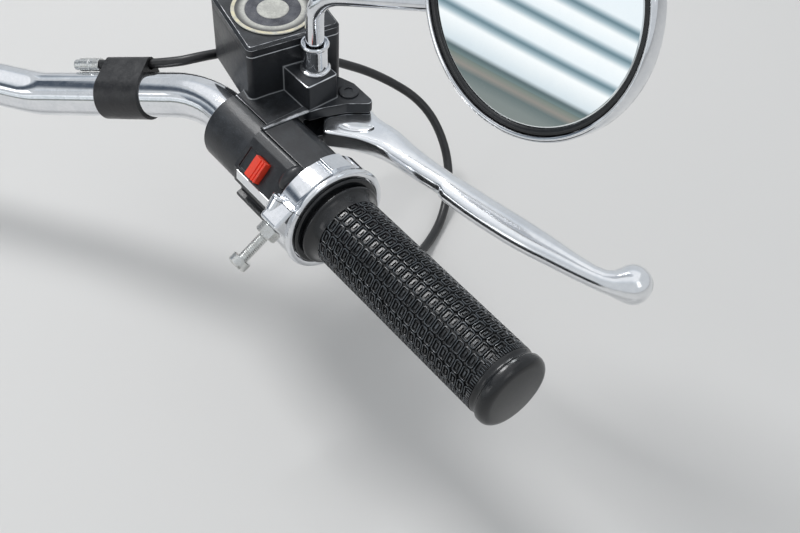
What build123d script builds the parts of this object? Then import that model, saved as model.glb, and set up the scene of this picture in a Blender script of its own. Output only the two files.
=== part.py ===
from build123d import *
from math import atan2, cos, hypot, radians, sin, tan
import os

os.makedirs("parts", exist_ok=True)

# Motorcycle handlebar with its controls, in millimetres.
# +X is the rider's right, +Y is forward, +Z is up, and the origin is the centre of the bar.

# The tube and its bends
bar_radius = 11.1
bar_wall = 2.0
clamp_zone_half = 54.0
rise_reach = 101.0
rise_height = 27.0
rise_pullback = 4.0
sweep_angle = 32.0
droop_angle = 4.0
grip_run = 104.0
clamp_bend_radius = 55.0
grip_bend_radius = 58.0
running_fit = 0.08
seat = 0.1
gap = 0.3
wrap_start = 33.5
wrap_length = 26.0
wrap_thickness = 1.2

# Grips, with stations counted outwards from the outer face of the throttle housing
grip_length = 118.5
grip_radius = 17.0
flange_start = -2.0
flange_radius = 22.5
flange_width = 3.0
groove_radius = 18.6
groove_width = 1.6
bead_radius = 20.4
bead_width = 1.6
cone_length = 5.2
neck_radius = 16.2
neck_width = 2.6
cap_radius = 17.6
cap_length = 6.2
cap_round = 2.4
grip_round = 0.7
cap_wall = 8.0
end_gap = 0.5
tube_radius = 13.0

# Throttle housing
housing_width = 16.0
housing_radius = 26.0
housing_wall = 3.0
mouth_depth = 2.6
mouth_clear = 0.6
lip_width = 1.6
pulley_radius = 20.0
pulley_clear = 1.2
side_clear = 0.4
housing_split = 142.0
housing_round = 1.2
housing_ear_reach = 28.0
housing_ear_radius = 4.6
housing_ear_height = 13.0
housing_ear_inset = 5.2
friction_w = -20.0
friction_h = 11.5
friction_drop = 30.0
friction_radius = 2.5
friction_nut_size = 9.0
friction_nut_length = 5.0
friction_reach = 28.0
friction_head_radius = 4.6
friction_head_length = 4.5
friction_boss_reach = 9.5
friction_boss_width = 12.0

# Switch housings
perch_outer = -50.0
perch_inner = -78.0
clamp_radius = 18.6
bore_clear = 0.1
switch_gap = 0.4
switch_round = 1.5
slider_s = -38.0
slider_length = 8.0
slider_width = 10.0
slider_height = 3.5
turn_slider_s = -30.0
turn_slider_length = 13.0
turn_slider_width = 8.0
turn_slider_height = 5.0
horn_button_s = -12.0

# Master cylinder
reservoir_side = 46.0
reservoir_s = -87.8
reservoir_w = 30.6
reservoir_turn = -11.5
reservoir_top = 48.0
reservoir_floor = 12.0
reservoir_round = 3.0
lid_thickness = 5.0
lid_chamfer = 1.4
label_radius = 18.0
label_thickness = 0.8
boss_long = 22.0
boss_wide = 17.0
boss_s = -58.8
boss_w = 28.5
boss_top = 33.0
boss_round = 1.5
cylinder_w = 24.0
cylinder_h = 8.0
cylinder_radius = 10.5
cylinder_inner_end = -104.0
cylinder_outer_end = -60.0
port_s = -97.0
port_boss_radius = 7.5
port_boss_drop = 16.0
port_radius = 4.9
port_depth = 11.0
boot_radius = 4.8
boot_length = 5.5

# Levers
pivot_s = -47.5
pivot_w = 43.0
pin_radius = 4.0
lever_h = 8.0
lever_thickness = 10.0
ear_thickness = 6.0
lever_edge_round = 2.0
lever_ball_radius = 9.0
ear_round = 2.5
block_step = 12.5
block_lead = 2.0
block_rear = 12.0
ear_slope = 3.0
ear_shape = [(0.1, -22.7), (2.1, -15.2), (5.9, -5.6), (14.2, 5.8), (-3.7, 6.2)]
saddle_front = 19.0
saddle_edge_h = 18.4
saddle_slope = 12.0
saddle_low = 2.0
bolt_head_radius = 5.6
bolt_head_height = 1.4
bolt_nut_radius = 6.0
bolt_nut_height = 5.0
adjuster_length = 22.0
adjuster_radius = 4.0
left_barrel_radius = 8.5
adjuster_wheel_radius = 9.0
adjuster_wheel_length = 5.0
left_cable_h = 8.0
cable_seat_radius = 2.8
cable_seat_depth = 8.0

# Mirrors
stem_radius = 4.3
stem_s = -57.0
stem_w = 31.0
stem_depth = 12.0
stem_corner_h = 74.0
stem_bend_radius = 13.0
collar_radius = 5.8
collar_height = 15.0
collar_rim_radius = 6.6
collar_rim_height = 1.6
collar_foot_radius = 7.0
collar_foot_height = 1.2
mirror_radius = 55.0
mirror_s = 37.4
mirror_w = 66.8
mirror_h = 112.0
mirror_yaw = 4.0
mirror_tip = 18.0
rim_width = 2.6
rim_front = 3.0
rim_back = 6.0
gasket_width = 2.8
glass_front = 1.0
glass_back = 2.0
gasket_front = 2.0
shell_depth = 17.0
shell_shoulder_radius = 31.0
shell_shoulder_depth = 13.6
joint_ball_radius = 7.0
joint_s = 21.6
joint_w = 95.0
joint_h = 85.4
stud_radius = 5.0
stud_sunk = 5.0

# Throttle cable
cable_radius = 2.5
strap_forward = 0.6
strap_up = 0.8
strap_lead = 9.5
strap_tail = 5.0
elbow_radius = 3.6
elbow_length = 11.0
elbow_turn = -76.0
elbow_lean = 30.0
first_run = 27.0
ferrule_radius = 3.4
ferrule_length = 16.0

# Right-hand grip frame: s runs outwards along the grip, w forwards and h upwards
sweep_turn = radians(sweep_angle)
droop_turn = radians(droop_angle)
along = Vector(cos(droop_turn) * cos(sweep_turn), -cos(droop_turn) * sin(sweep_turn), -sin(droop_turn))
across = Vector(sin(sweep_turn), cos(sweep_turn), 0)
upward = along.cross(across)
rise_turn = atan2(hypot(rise_height, rise_pullback), rise_reach)
inner_corner = Vector(clamp_zone_half + clamp_bend_radius * tan(rise_turn / 2), 0, 0)
outer_corner = inner_corner + Vector(rise_reach, -rise_pullback, rise_height)
grip_origin = outer_corner + along * grip_run
grip_axis = Axis(grip_origin, along)
lift_axis = Axis(grip_origin, upward)


def spot(s, w, h):
    return grip_origin + along * s + across * w + upward * h


def station(s):
    """Plane across the grip: x forwards, y upwards, normal outwards."""
    return Plane(origin=spot(s, 0, 0), x_dir=across, z_dir=along)


def level(h):
    """Plane along the grip: x outwards, y forwards, normal upwards."""
    return Plane(origin=spot(0, 0, h), x_dir=along, z_dir=upward)


def opposite(point):
    return Vector(-point.X, point.Y, point.Z)


def write(builder, name):
    builder.part.label = name
    export_step(builder.part, f"parts/{name}.step")


def write_mirrored(builder, name):
    with BuildPart() as twin:
        mirror(builder.part, about=Plane.YZ)
    write(twin, name)


# Handlebar tube, from one grip's end to the other
bar_end_length = grip_length - cap_wall - end_gap
grip_end = spot(bar_end_length, 0, 0)
bar_points = [opposite(grip_end), opposite(outer_corner), opposite(inner_corner)]
bar_points += [inner_corner, outer_corner, grip_end]
bar_bends = [grip_bend_radius, clamp_bend_radius, clamp_bend_radius, grip_bend_radius]
with BuildPart() as handlebar:
    with BuildLine() as bar_line:
        FilletPolyline(*bar_points, radius=bar_bends)
    with BuildSketch(Plane(origin=bar_points[0], z_dir=bar_points[1] - bar_points[0])):
        Circle(bar_radius)
        Circle(bar_radius - bar_wall, mode=Mode.SUBTRACT)
    sweep()
write(handlebar, "handlebar")

# Wrap bands on the rising stretches, the right-hand one also round the throttle cable
rise_dir = (inner_corner - outer_corner).normalized()
strap_dir = (Vector(0, strap_forward, strap_up) - rise_dir * rise_dir.dot(Vector(0, strap_forward, strap_up))).normalized()
strap_offset = bar_radius + ferrule_radius + gap


def strapped(distance):
    """Point beside the rising stretch where the cable lies, counted inwards from the grip bend."""
    return outer_corner + rise_dir * distance + strap_dir * strap_offset


wrap_plane = Plane(origin=outer_corner + rise_dir * wrap_start, x_dir=strap_dir, z_dir=rise_dir)
with BuildPart() as bar_wrap_right:
    with BuildSketch(wrap_plane):
        Circle(bar_radius + seat + wrap_thickness)
        with Locations((strap_offset, 0)):
            Circle(cable_radius + seat + wrap_thickness)
        make_hull()
        Circle(bar_radius + seat, mode=Mode.SUBTRACT)
        with Locations((strap_offset, 0)):
            Circle(cable_radius + seat, mode=Mode.SUBTRACT)
    extrude(amount=wrap_length)
write(bar_wrap_right, "bar_wrap_right")

with BuildPart() as bar_wrap:
    with BuildSketch(wrap_plane):
        Circle(bar_radius + seat + wrap_thickness)
        Circle(bar_radius + seat, mode=Mode.SUBTRACT)
    extrude(amount=wrap_length)
write_mirrored(bar_wrap, "bar_wrap_left")


def grip_profile(bore):
    """Half section of a grip in s and radius, from its flange to its closed end."""
    flange_end = flange_start + flange_width
    bead_start = flange_end + groove_width
    bead_end = bead_start + bead_width
    neck_end = grip_length - cap_length
    neck_start = neck_end - neck_width
    bore_end = bar_end_length + end_gap
    return [
        (flange_start, bore),
        (flange_start, flange_radius),
        (flange_end, flange_radius),
        (flange_end, groove_radius),
        (bead_start, groove_radius),
        (bead_start, bead_radius),
        (bead_end, bead_radius),
        (bead_end + cone_length, grip_radius),
        (neck_start, grip_radius),
        (neck_start, neck_radius),
        (neck_end, neck_radius),
        (neck_end, cap_radius),
        (grip_length - cap_round, cap_radius),
        (grip_length, cap_radius - cap_round),
        (grip_length, 0),
        (bore_end, 0),
        (bore_end, bore),
    ]


def outer_corners(corners):
    """Corners of the grip's section on its outside, without the neck's inner ones."""
    return [corner for corner in corners if corner.Y > grip_radius - seat]


with BuildPart() as right_grip:
    with BuildSketch(level(0)):
        with BuildLine():
            Polyline(*grip_profile(tube_radius + seat), close=True)
        make_face()
        fillet(outer_corners(vertices()), grip_round)
    revolve(axis=grip_axis)
write(right_grip, "right_grip")

with BuildPart() as left_grip_source:
    with BuildSketch(level(0)):
        with BuildLine():
            Polyline(*grip_profile(bar_radius + seat), close=True)
        make_face()
        fillet(outer_corners(vertices()), grip_round)
    revolve(axis=grip_axis)
write_mirrored(left_grip_source, "left_grip")

# Throttle tube with its cable pulley
pulley_outer = -mouth_depth - lip_width - side_clear
pulley_inner = -housing_width + housing_wall + side_clear
with BuildPart() as throttle_tube:
    with BuildSketch(station(pulley_inner)):
        Circle(tube_radius)
    extrude(amount=bar_end_length - pulley_inner)
    with BuildSketch(station(pulley_inner)):
        Circle(pulley_radius)
    extrude(amount=pulley_outer - pulley_inner)
    with BuildSketch(station(pulley_inner)):
        Circle(bar_radius + running_fit)
    extrude(amount=bar_end_length - pulley_inner, mode=Mode.SUBTRACT)
write(throttle_tube, "throttle_tube")

# Throttle housing, a clamshell split on a slanted plane through the grip's axis
split_turn = radians(housing_split)
split_across = across * cos(split_turn) + upward * sin(split_turn)
split_normal = across * sin(split_turn) - upward * cos(split_turn)
if split_normal.dot(upward) < 0:
    split_normal = split_normal * -1
friction_dir = across * -cos(radians(friction_drop)) + upward * -sin(radians(friction_drop))
friction_origin = spot(-housing_width / 2, friction_w, friction_h)
with BuildPart() as housing_whole:
    with BuildSketch(station(-housing_width)):
        Circle(housing_radius)
    extrude(amount=housing_width)
    fillet(edges(), housing_round)
    for side in (1, -1):
        ear_origin = spot(-housing_width + housing_ear_inset, 0, 0) + split_across * (side * housing_ear_reach)
        with BuildSketch(Plane(origin=ear_origin, x_dir=along, z_dir=split_normal)):
            Circle(housing_ear_radius)
        extrude(amount=housing_ear_height / 2, both=True)
    with BuildSketch(Plane(origin=friction_origin, x_dir=along, z_dir=friction_dir)):
        Rectangle(friction_boss_width, friction_boss_width)
    extrude(amount=friction_boss_reach)
    with BuildSketch(station(-housing_width)):
        Circle(bar_radius + bore_clear)
    extrude(amount=housing_wall, mode=Mode.SUBTRACT)
    with BuildSketch(station(-housing_width + housing_wall)):
        Circle(pulley_radius + pulley_clear)
    extrude(amount=housing_width - housing_wall - mouth_depth - lip_width, mode=Mode.SUBTRACT)
    with BuildSketch(station(-mouth_depth - lip_width)):
        Circle(tube_radius + mouth_clear)
    extrude(amount=lip_width, mode=Mode.SUBTRACT)
    with BuildSketch(station(-mouth_depth)):
        Circle(flange_radius + mouth_clear)
    extrude(amount=mouth_depth, mode=Mode.SUBTRACT)
    with BuildSketch(Plane(origin=friction_origin, x_dir=along, z_dir=friction_dir)):
        Circle(friction_radius + seat)
    extrude(amount=friction_reach, both=True, mode=Mode.SUBTRACT)

for name, sign in (("throttle_housing_upper", 1), ("throttle_housing_lower", -1)):
    cut_origin = spot(0, 0, 0) + split_normal * (sign * gap / 2)
    with BuildPart() as half:
        add(housing_whole.part)
        split(bisect_by=Plane(origin=cut_origin, x_dir=along, z_dir=split_normal * sign), keep=Keep.TOP)
    write(half, name)

# Friction screw and its lock nut
with BuildPart() as friction_screw:
    with BuildSketch(Plane(origin=friction_origin, x_dir=along, z_dir=friction_dir)):
        Circle(friction_radius)
    extrude(amount=friction_reach)
    head_origin = friction_origin + friction_dir * friction_reach
    with BuildSketch(Plane(origin=head_origin, x_dir=along, z_dir=friction_dir)):
        Circle(friction_head_radius)
    extrude(amount=friction_head_length)
write(friction_screw, "friction_screw")

with BuildPart() as friction_nut:
    nut_origin = friction_origin + friction_dir * (friction_boss_reach + seat)
    with BuildSketch(Plane(origin=nut_origin, x_dir=along, z_dir=friction_dir)):
        RegularPolygon(friction_nut_size / 2, 6, major_radius=False)
        Circle(friction_radius + seat, mode=Mode.SUBTRACT)
    extrude(amount=friction_nut_length)
write(friction_nut, "friction_nut")

# Switch housing sections, in w and h, from the top seam round to the bottom seam
front_outline = [(0, 20), (12, 20), (17, 14), (17, -12), (11, -20), (0, -20)]
rear_outline = [(0, 20), (-5, 20), (-9, 18), (-22.5, 5), (-22.5, -4), (-14, -20), (0, -20)]
switch_outer = -housing_width - switch_gap
switch_inner = perch_outer + switch_gap


def switch_half(outline, outer, side):
    with BuildPart() as half:
        with BuildSketch(station(switch_inner)):
            with BuildLine():
                Polyline(*outline, close=True)
            make_face()
            fillet([corner for corner in vertices() if abs(corner.X) > gap], switch_round)
            Circle(bar_radius + bore_clear, mode=Mode.SUBTRACT)
        extrude(amount=outer - switch_inner)
        cut_origin = spot(0, side * gap / 2, 0)
        split(bisect_by=Plane(origin=cut_origin, x_dir=along, z_dir=across * side), keep=Keep.TOP)
    return half


write(switch_half(front_outline, switch_outer, 1), "right_switch_front")
write(switch_half(rear_outline, switch_outer, -1), "right_switch_rear")
left_switch_outer = flange_start - switch_gap
write_mirrored(switch_half(front_outline, left_switch_outer, 1), "left_switch_front")
write_mirrored(switch_half(rear_outline, left_switch_outer, -1), "left_switch_rear")

# Slider on the slanted rear facet of each switch housing
facet_start = rear_outline[2]
facet_end = rear_outline[3]
facet_w = (facet_start[0] + facet_end[0]) / 2
facet_h = (facet_start[1] + facet_end[1]) / 2
facet_dir = (across * (facet_end[0] - facet_start[0]) + upward * (facet_end[1] - facet_start[1])).normalized()
facet_normal = facet_dir.cross(along)
if facet_normal.dot(upward) < 0:
    facet_normal = facet_normal * -1


def facet_slider(s, length, width, height):
    with BuildPart() as slider:
        origin = spot(s, facet_w, facet_h) + facet_normal * seat
        with BuildSketch(Plane(origin=origin, x_dir=along, z_dir=facet_normal)):
            Rectangle(length, width)
        extrude(amount=height)
    return slider


write(facet_slider(slider_s, slider_length, slider_width, slider_height), "kill_slider")
turn_slider = facet_slider(turn_slider_s, turn_slider_length, turn_slider_width, turn_slider_height)
write_mirrored(turn_slider, "turn_slider")
write_mirrored(facet_slider(horn_button_s, slider_length, slider_width, slider_height), "horn_button")

# Perch body shared by both sides: clamp half, lever ears and mirror boss
ear_top = lever_h + lever_thickness / 2 + gap + ear_thickness
ear_bottom = lever_h - lever_thickness / 2 - gap - ear_thickness
block_outer = pivot_s - block_step
block_front = pivot_w + block_lead
ear_outline = [(perch_inner, block_rear), (perch_outer, block_rear), (perch_outer, saddle_front)]
ear_outline += [(pivot_s + out, pivot_w + ahead) for out, ahead in ear_shape]
ear_outline += [(perch_inner, pivot_w - ear_slope)]
saddle_outline = [(gap / 2, saddle_low), (gap / 2, saddle_edge_h), (saddle_slope, ear_top), (saddle_front, ear_top)]
saddle_outline += [(saddle_front, saddle_low)]


def perch_core():
    with BuildPart() as core:
        with BuildSketch(station(perch_inner)):
            Circle(clamp_radius)
        extrude(amount=perch_outer - perch_inner)
        split(bisect_by=Plane(origin=spot(0, gap / 2, 0), x_dir=along, z_dir=across), keep=Keep.TOP)
        with BuildSketch(station(perch_inner)):
            with BuildLine():
                Polyline(*saddle_outline, close=True)
            make_face()
        extrude(amount=perch_outer - perch_inner)
        with BuildSketch(level(ear_bottom)):
            with Locations(((perch_inner + block_outer) / 2, (block_rear + block_front) / 2)):
                Rectangle(block_outer - perch_inner, block_front - block_rear)
        extrude(amount=ear_top - ear_bottom)
        for base in (ear_bottom, ear_top - ear_thickness):
            with BuildSketch(level(base)):
                with BuildLine():
                    Polyline(*ear_outline, close=True)
                make_face()
                fillet(vertices(), ear_round)
            extrude(amount=ear_thickness)
        with BuildSketch(level(ear_top - ear_thickness)):
            with Locations((boss_s, boss_w)):
                RectangleRounded(boss_long, boss_wide, boss_round)
        extrude(amount=boss_top - ear_top + ear_thickness)
    return core


def perch_holes():
    with BuildPart() as holes:
        with BuildSketch(station(perch_inner)):
            Circle(bar_radius + bore_clear)
        extrude(amount=perch_outer - perch_inner)
        with BuildSketch(level(boss_top)):
            with Locations((stem_s, stem_w)):
                Circle(stem_radius + running_fit)
        extrude(amount=-stem_depth)
        with BuildSketch(level(ear_bottom)):
            with Locations((pivot_s, pivot_w)):
                Circle(pin_radius + seat)
        extrude(amount=ear_top - ear_bottom)
    return holes


with BuildPart() as master_cylinder:
    add(perch_core().part)
    with BuildSketch(station(cylinder_inner_end)):
        with Locations((cylinder_w, cylinder_h)):
            Circle(cylinder_radius)
    extrude(amount=cylinder_outer_end - cylinder_inner_end)
    with BuildSketch(level(reservoir_floor)):
        with Locations((reservoir_s, reservoir_w)):
            RectangleRounded(reservoir_side, reservoir_side, reservoir_round, rotation=reservoir_turn)
    extrude(amount=reservoir_top - lid_thickness - reservoir_floor)
    with BuildSketch(level(cylinder_h - port_boss_drop)):
        with Locations((port_s, cylinder_w)):
            Circle(port_boss_radius)
    extrude(amount=port_boss_drop)
    add(perch_holes().part, mode=Mode.SUBTRACT)
    with BuildSketch(level(cylinder_h - port_boss_drop)):
        with Locations((port_s, cylinder_w)):
            Circle(port_radius)
    extrude(amount=port_depth, mode=Mode.SUBTRACT)
write(master_cylinder, "master_cylinder")

with BuildPart() as left_perch:
    add(perch_core().part)
    with BuildSketch(station(perch_inner)):
        with Locations((cylinder_w, left_cable_h)):
            Circle(left_barrel_radius)
    extrude(amount=block_outer - perch_inner)
    add(perch_holes().part, mode=Mode.SUBTRACT)
    with BuildSketch(station(perch_inner)):
        with Locations((cylinder_w, left_cable_h)):
            Circle(adjuster_radius)
    extrude(amount=block_outer - perch_inner, mode=Mode.SUBTRACT)
write_mirrored(left_perch, "left_perch")

with BuildPart() as clamp_cap:
    with BuildSketch(station(perch_inner)):
        Circle(clamp_radius)
        Circle(bar_radius + bore_clear, mode=Mode.SUBTRACT)
    extrude(amount=perch_outer - perch_inner)
    split(bisect_by=Plane(origin=spot(0, -gap / 2, 0), x_dir=along, z_dir=across * -1), keep=Keep.TOP)
write(clamp_cap, "master_cylinder_clamp")
write_mirrored(clamp_cap, "left_perch_clamp")

with BuildPart() as reservoir_lid:
    with BuildSketch(level(reservoir_top - lid_thickness + seat)):
        with Locations((reservoir_s, reservoir_w)):
            RectangleRounded(reservoir_side, reservoir_side, reservoir_round, rotation=reservoir_turn)
    extrude(amount=lid_thickness - seat)
    chamfer(faces().sort_by(lift_axis)[-1].edges(), lid_chamfer)
write(reservoir_lid, "reservoir_lid")

with BuildPart() as reservoir_label:
    with BuildSketch(level(reservoir_top + seat)):
        with Locations((reservoir_s, reservoir_w)):
            Circle(label_radius)
    extrude(amount=label_thickness)
write(reservoir_label, "reservoir_label")

with BuildPart() as piston_boot:
    with BuildSketch(station(cylinder_outer_end + seat)):
        with Locations((cylinder_w, cylinder_h)):
            Circle(boot_radius)
    extrude(amount=boot_length)
write(piston_boot, "piston_boot")

with BuildPart() as cable_adjuster:
    with BuildSketch(station(perch_inner - adjuster_length)):
        with Locations((cylinder_w, left_cable_h)):
            Circle(adjuster_radius - seat)
    extrude(amount=adjuster_length + block_outer - perch_inner)
    with BuildSketch(station(perch_inner - seat - adjuster_wheel_length)):
        with Locations((cylinder_w, left_cable_h)):
            Circle(adjuster_wheel_radius)
    extrude(amount=adjuster_wheel_length)
    with BuildSketch(station(perch_inner - adjuster_length)):
        with Locations((cylinder_w, left_cable_h)):
            Circle(cable_seat_radius)
    extrude(amount=cable_seat_depth, mode=Mode.SUBTRACT)
write_mirrored(cable_adjuster, "cable_adjuster")

# Levers: a flat root round the pivot, and a blade lofted through oval sections to the ball.
# Root corners are counted from the pivot. Each section has its station outwards from the pivot,
# its centre forwards and upwards from it, and its half width and half thickness.
lever_root = [
    (5.5, -19.0),
    (11.0, -18.5),
    (20.0, -12.0),
    (30.0, -4.8),
    (42.0, -3.4),
    (42.0, 9.4),
    (27.0, 8.2),
    (15.0, 5.2),
    (1.5, 8.0),
    (-6.5, 5.0),
    (-9.5, -2.0),
    (-4.5, -10.0),
]
lever_sections = [
    (32.0, 1.5, -0.3, 7.2, 5.0),
    (39.5, 2.0, -0.5, 6.8, 5.0),
    (54.5, 4.3, -1.1, 6.7, 5.0),
    (68.5, 6.4, -1.6, 6.7, 5.0),
    (82.5, 8.8, -2.2, 7.3, 5.0),
    (96.5, 11.5, -2.7, 7.8, 5.0),
    (109.5, 14.4, -3.2, 7.8, 5.0),
    (122.5, 17.6, -3.7, 6.9, 4.9),
    (135.5, 20.8, -4.2, 5.3, 4.7),
    (144.5, 23.4, -4.6, 4.7, 4.6),
    (151.0, 27.6, -4.9, 5.0, 4.8),
]
lever_ball = (154.7, 33.5, -5.0)
with BuildPart() as lever_plate:
    with BuildSketch(level(lever_h - lever_thickness / 2)):
        with BuildLine():
            Polyline(*[(pivot_s + out, pivot_w + ahead) for out, ahead in lever_root], close=True)
        make_face()
        fillet(vertices(), lever_edge_round)
    extrude(amount=lever_thickness)
    fillet(faces().filter_by(lift_axis).edges(), lever_edge_round)

with BuildPart() as lever_blade:
    for out, ahead, rise, half_width, half_thickness in lever_sections:
        with BuildSketch(station(pivot_s + out)):
            with Locations((pivot_w + ahead, lever_h + rise)):
                Ellipse(half_width, half_thickness)
    loft()

with BuildPart() as brake_lever:
    add(lever_plate.part)
    add(lever_blade.part)
    with Locations(spot(pivot_s + lever_ball[0], pivot_w + lever_ball[1], lever_h + lever_ball[2])):
        Sphere(lever_ball_radius)
    with BuildSketch(level(lever_h - lever_thickness / 2)):
        with Locations((pivot_s, pivot_w)):
            Circle(pin_radius + running_fit)
    extrude(amount=lever_thickness, mode=Mode.SUBTRACT)
write(brake_lever, "brake_lever")
write_mirrored(brake_lever, "clutch_lever")

with BuildPart() as lever_bolt:
    with BuildSketch(level(ear_bottom - bolt_nut_height - seat)):
        with Locations((pivot_s, pivot_w)):
            Circle(pin_radius)
    extrude(amount=ear_top - ear_bottom + bolt_nut_height + 2 * seat)
    with BuildSketch(level(ear_top + seat)):
        with Locations((pivot_s, pivot_w)):
            Circle(bolt_head_radius)
    extrude(amount=bolt_head_height)
    with BuildSketch(level(ear_bottom - seat - bolt_nut_height)):
        with Locations((pivot_s, pivot_w)):
            RegularPolygon(bolt_nut_radius, 6, major_radius=False)
    extrude(amount=bolt_nut_height)
write(lever_bolt, "brake_lever_bolt")
write_mirrored(lever_bolt, "clutch_lever_bolt")

# Mirrors
yaw_turn = radians(mirror_yaw)
tip_turn = radians(mirror_tip)
glass_normal = (
    along * (cos(tip_turn) * sin(yaw_turn))
    - across * (cos(tip_turn) * cos(yaw_turn))
    + upward * sin(tip_turn)
)
glass_x = upward.cross(glass_normal).normalized()
mirror_centre = spot(mirror_s, mirror_w, mirror_h)
mirror_axis = Axis(mirror_centre, glass_normal)
joint_centre = spot(joint_s, joint_w, joint_h)
stud_line = mirror_centre - glass_normal * (shell_depth - stud_sunk) - joint_centre
half_section = Plane(origin=mirror_centre, x_dir=glass_x, z_dir=glass_x.cross(glass_normal))


def ring_section(inner, outer, back, front):
    with BuildPart() as ring:
        with BuildSketch(Plane(origin=mirror_centre + glass_normal * back, x_dir=glass_x, z_dir=glass_normal)):
            Circle(outer)
            if inner > 0:
                Circle(inner, mode=Mode.SUBTRACT)
        extrude(amount=front - back)
    return ring


with BuildPart() as mirror_stem:
    stem_foot = spot(stem_s, stem_w, boss_top - stem_depth + gap)
    stem_corner = spot(stem_s, stem_w, stem_corner_h)
    with BuildLine():
        FilletPolyline(stem_foot, stem_corner, joint_centre, radius=stem_bend_radius)
    with BuildSketch(Plane(origin=stem_foot, z_dir=upward)):
        Circle(stem_radius)
    sweep()
    with Locations(joint_centre):
        Sphere(joint_ball_radius)

with BuildPart() as mirror_collar:
    collar_rings = [
        (0, collar_height, collar_radius),
        (0, collar_foot_height, collar_foot_radius),
        (collar_height - collar_rim_height, collar_rim_height, collar_rim_radius),
    ]
    for base, height, radius in collar_rings:
        with BuildSketch(level(boss_top + seat + base)):
            with Locations((stem_s, stem_w)):
                Circle(radius)
        extrude(amount=height)
    with BuildSketch(level(boss_top + seat)):
        with Locations((stem_s, stem_w)):
            Circle(stem_radius + running_fit)
    extrude(amount=collar_height, mode=Mode.SUBTRACT)

gasket_outer = mirror_radius - rim_width - seat
glass_radius = gasket_outer - gasket_width - seat
with BuildPart() as mirror_shell:
    with BuildSketch(half_section):
        with BuildLine():
            Line((0, -shell_depth), (0, -glass_back - seat))
            Line((0, -glass_back - seat), (gasket_outer, -glass_back - seat))
            Line((gasket_outer, -glass_back - seat), (gasket_outer, -rim_back))
            ThreePointArc(
                (gasket_outer, -rim_back),
                (shell_shoulder_radius, -shell_shoulder_depth),
                (0, -shell_depth),
            )
        make_face()
    revolve(axis=mirror_axis)
    with BuildSketch(Plane(origin=joint_centre, z_dir=stud_line.normalized())):
        Circle(stud_radius)
    extrude(amount=stud_line.length)
    with Locations(joint_centre):
        Sphere(joint_ball_radius + running_fit, mode=Mode.SUBTRACT)

mirror_rim = ring_section(gasket_outer + seat, mirror_radius, -rim_back, rim_front)
mirror_gasket = ring_section(glass_radius + seat, gasket_outer, -glass_back, gasket_front)
mirror_glass = ring_section(0, glass_radius, -glass_back, glass_front)
mirror_parts = {
    "collar": mirror_collar,
    "stem": mirror_stem,
    "shell": mirror_shell,
    "rim": mirror_rim,
    "gasket": mirror_gasket,
    "glass": mirror_glass,
}
for name, builder in mirror_parts.items():
    write(builder, f"right_mirror_{name}")
    write_mirrored(builder, f"left_mirror_{name}")

# Throttle cable: out of the housing's elbow, round in a loop and back to the bar's wrap band
elbow_foot_w = housing_radius * cos(radians(elbow_turn))
elbow_foot_h = housing_radius * sin(radians(elbow_turn))
elbow_foot = spot(-housing_width / 2, elbow_foot_w, elbow_foot_h)
elbow_dir = across * sin(radians(elbow_lean)) - upward * cos(radians(elbow_lean))
cable_start = elbow_foot + elbow_dir * elbow_length
cable_route = [
    (-18, 52, -88),
    (-32, 84, -106),
    (-48, 114, -108),
    (-70, 135, -93),
    (-96, 138, -72),
    (-117, 118, -54),
    (-126, 90, -36),
    (-125, 62, -16),
    (-123, 36, -1),
    (-123, 13, 6),
]
cable_points = [cable_start, cable_start + elbow_dir * first_run]
cable_points += [spot(*point) for point in cable_route]
cable_points += [strapped(wrap_start - strap_lead), strapped(wrap_start + wrap_length + strap_tail)]
cable_radii = []
for before, corner, after in zip(cable_points, cable_points[1:], cable_points[2:]):
    run_in = corner - before
    run_out = after - corner
    turn = radians(run_in.get_angle(run_out))
    cable_radii.append(0.45 * min(run_in.length, run_out.length) / tan(turn / 2))
print("cable radii", [round(radius, 1) for radius in cable_radii])
with BuildPart() as throttle_cable:
    with BuildLine() as cable_line:
        FilletPolyline(*cable_points, radius=cable_radii)
    with BuildSketch(Plane(origin=cable_points[0], z_dir=cable_points[1] - cable_points[0])):
        Circle(cable_radius)
    sweep()
print("cable length", round(sum(edge.length for edge in cable_line.line.edges()), 1), "volume", round(throttle_cable.part.volume, 1))
write(throttle_cable, "throttle_cable")

with BuildPart() as cable_elbow:
    with BuildSketch(Plane(origin=cable_start, z_dir=elbow_dir * -1)):
        Circle(elbow_radius)
    extrude(amount=elbow_length + elbow_radius)
    with BuildSketch(station(-housing_width)):
        Circle(housing_radius + seat)
    extrude(amount=housing_width, mode=Mode.SUBTRACT)
write(cable_elbow, "cable_elbow")

ferrule_dir = (cable_points[-1] - cable_points[-2]).normalized()
with BuildPart() as cable_ferrule:
    with BuildSketch(Plane(origin=cable_points[-1], z_dir=ferrule_dir)):
        Circle(ferrule_radius)
    extrude(amount=ferrule_length)
write(cable_ferrule, "cable_ferrule")
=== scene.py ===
from math import atan2, copysign, cos, hypot, pi, radians, sin

import bmesh
import bpy
from mathutils import Euler, Matrix, Vector


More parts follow.
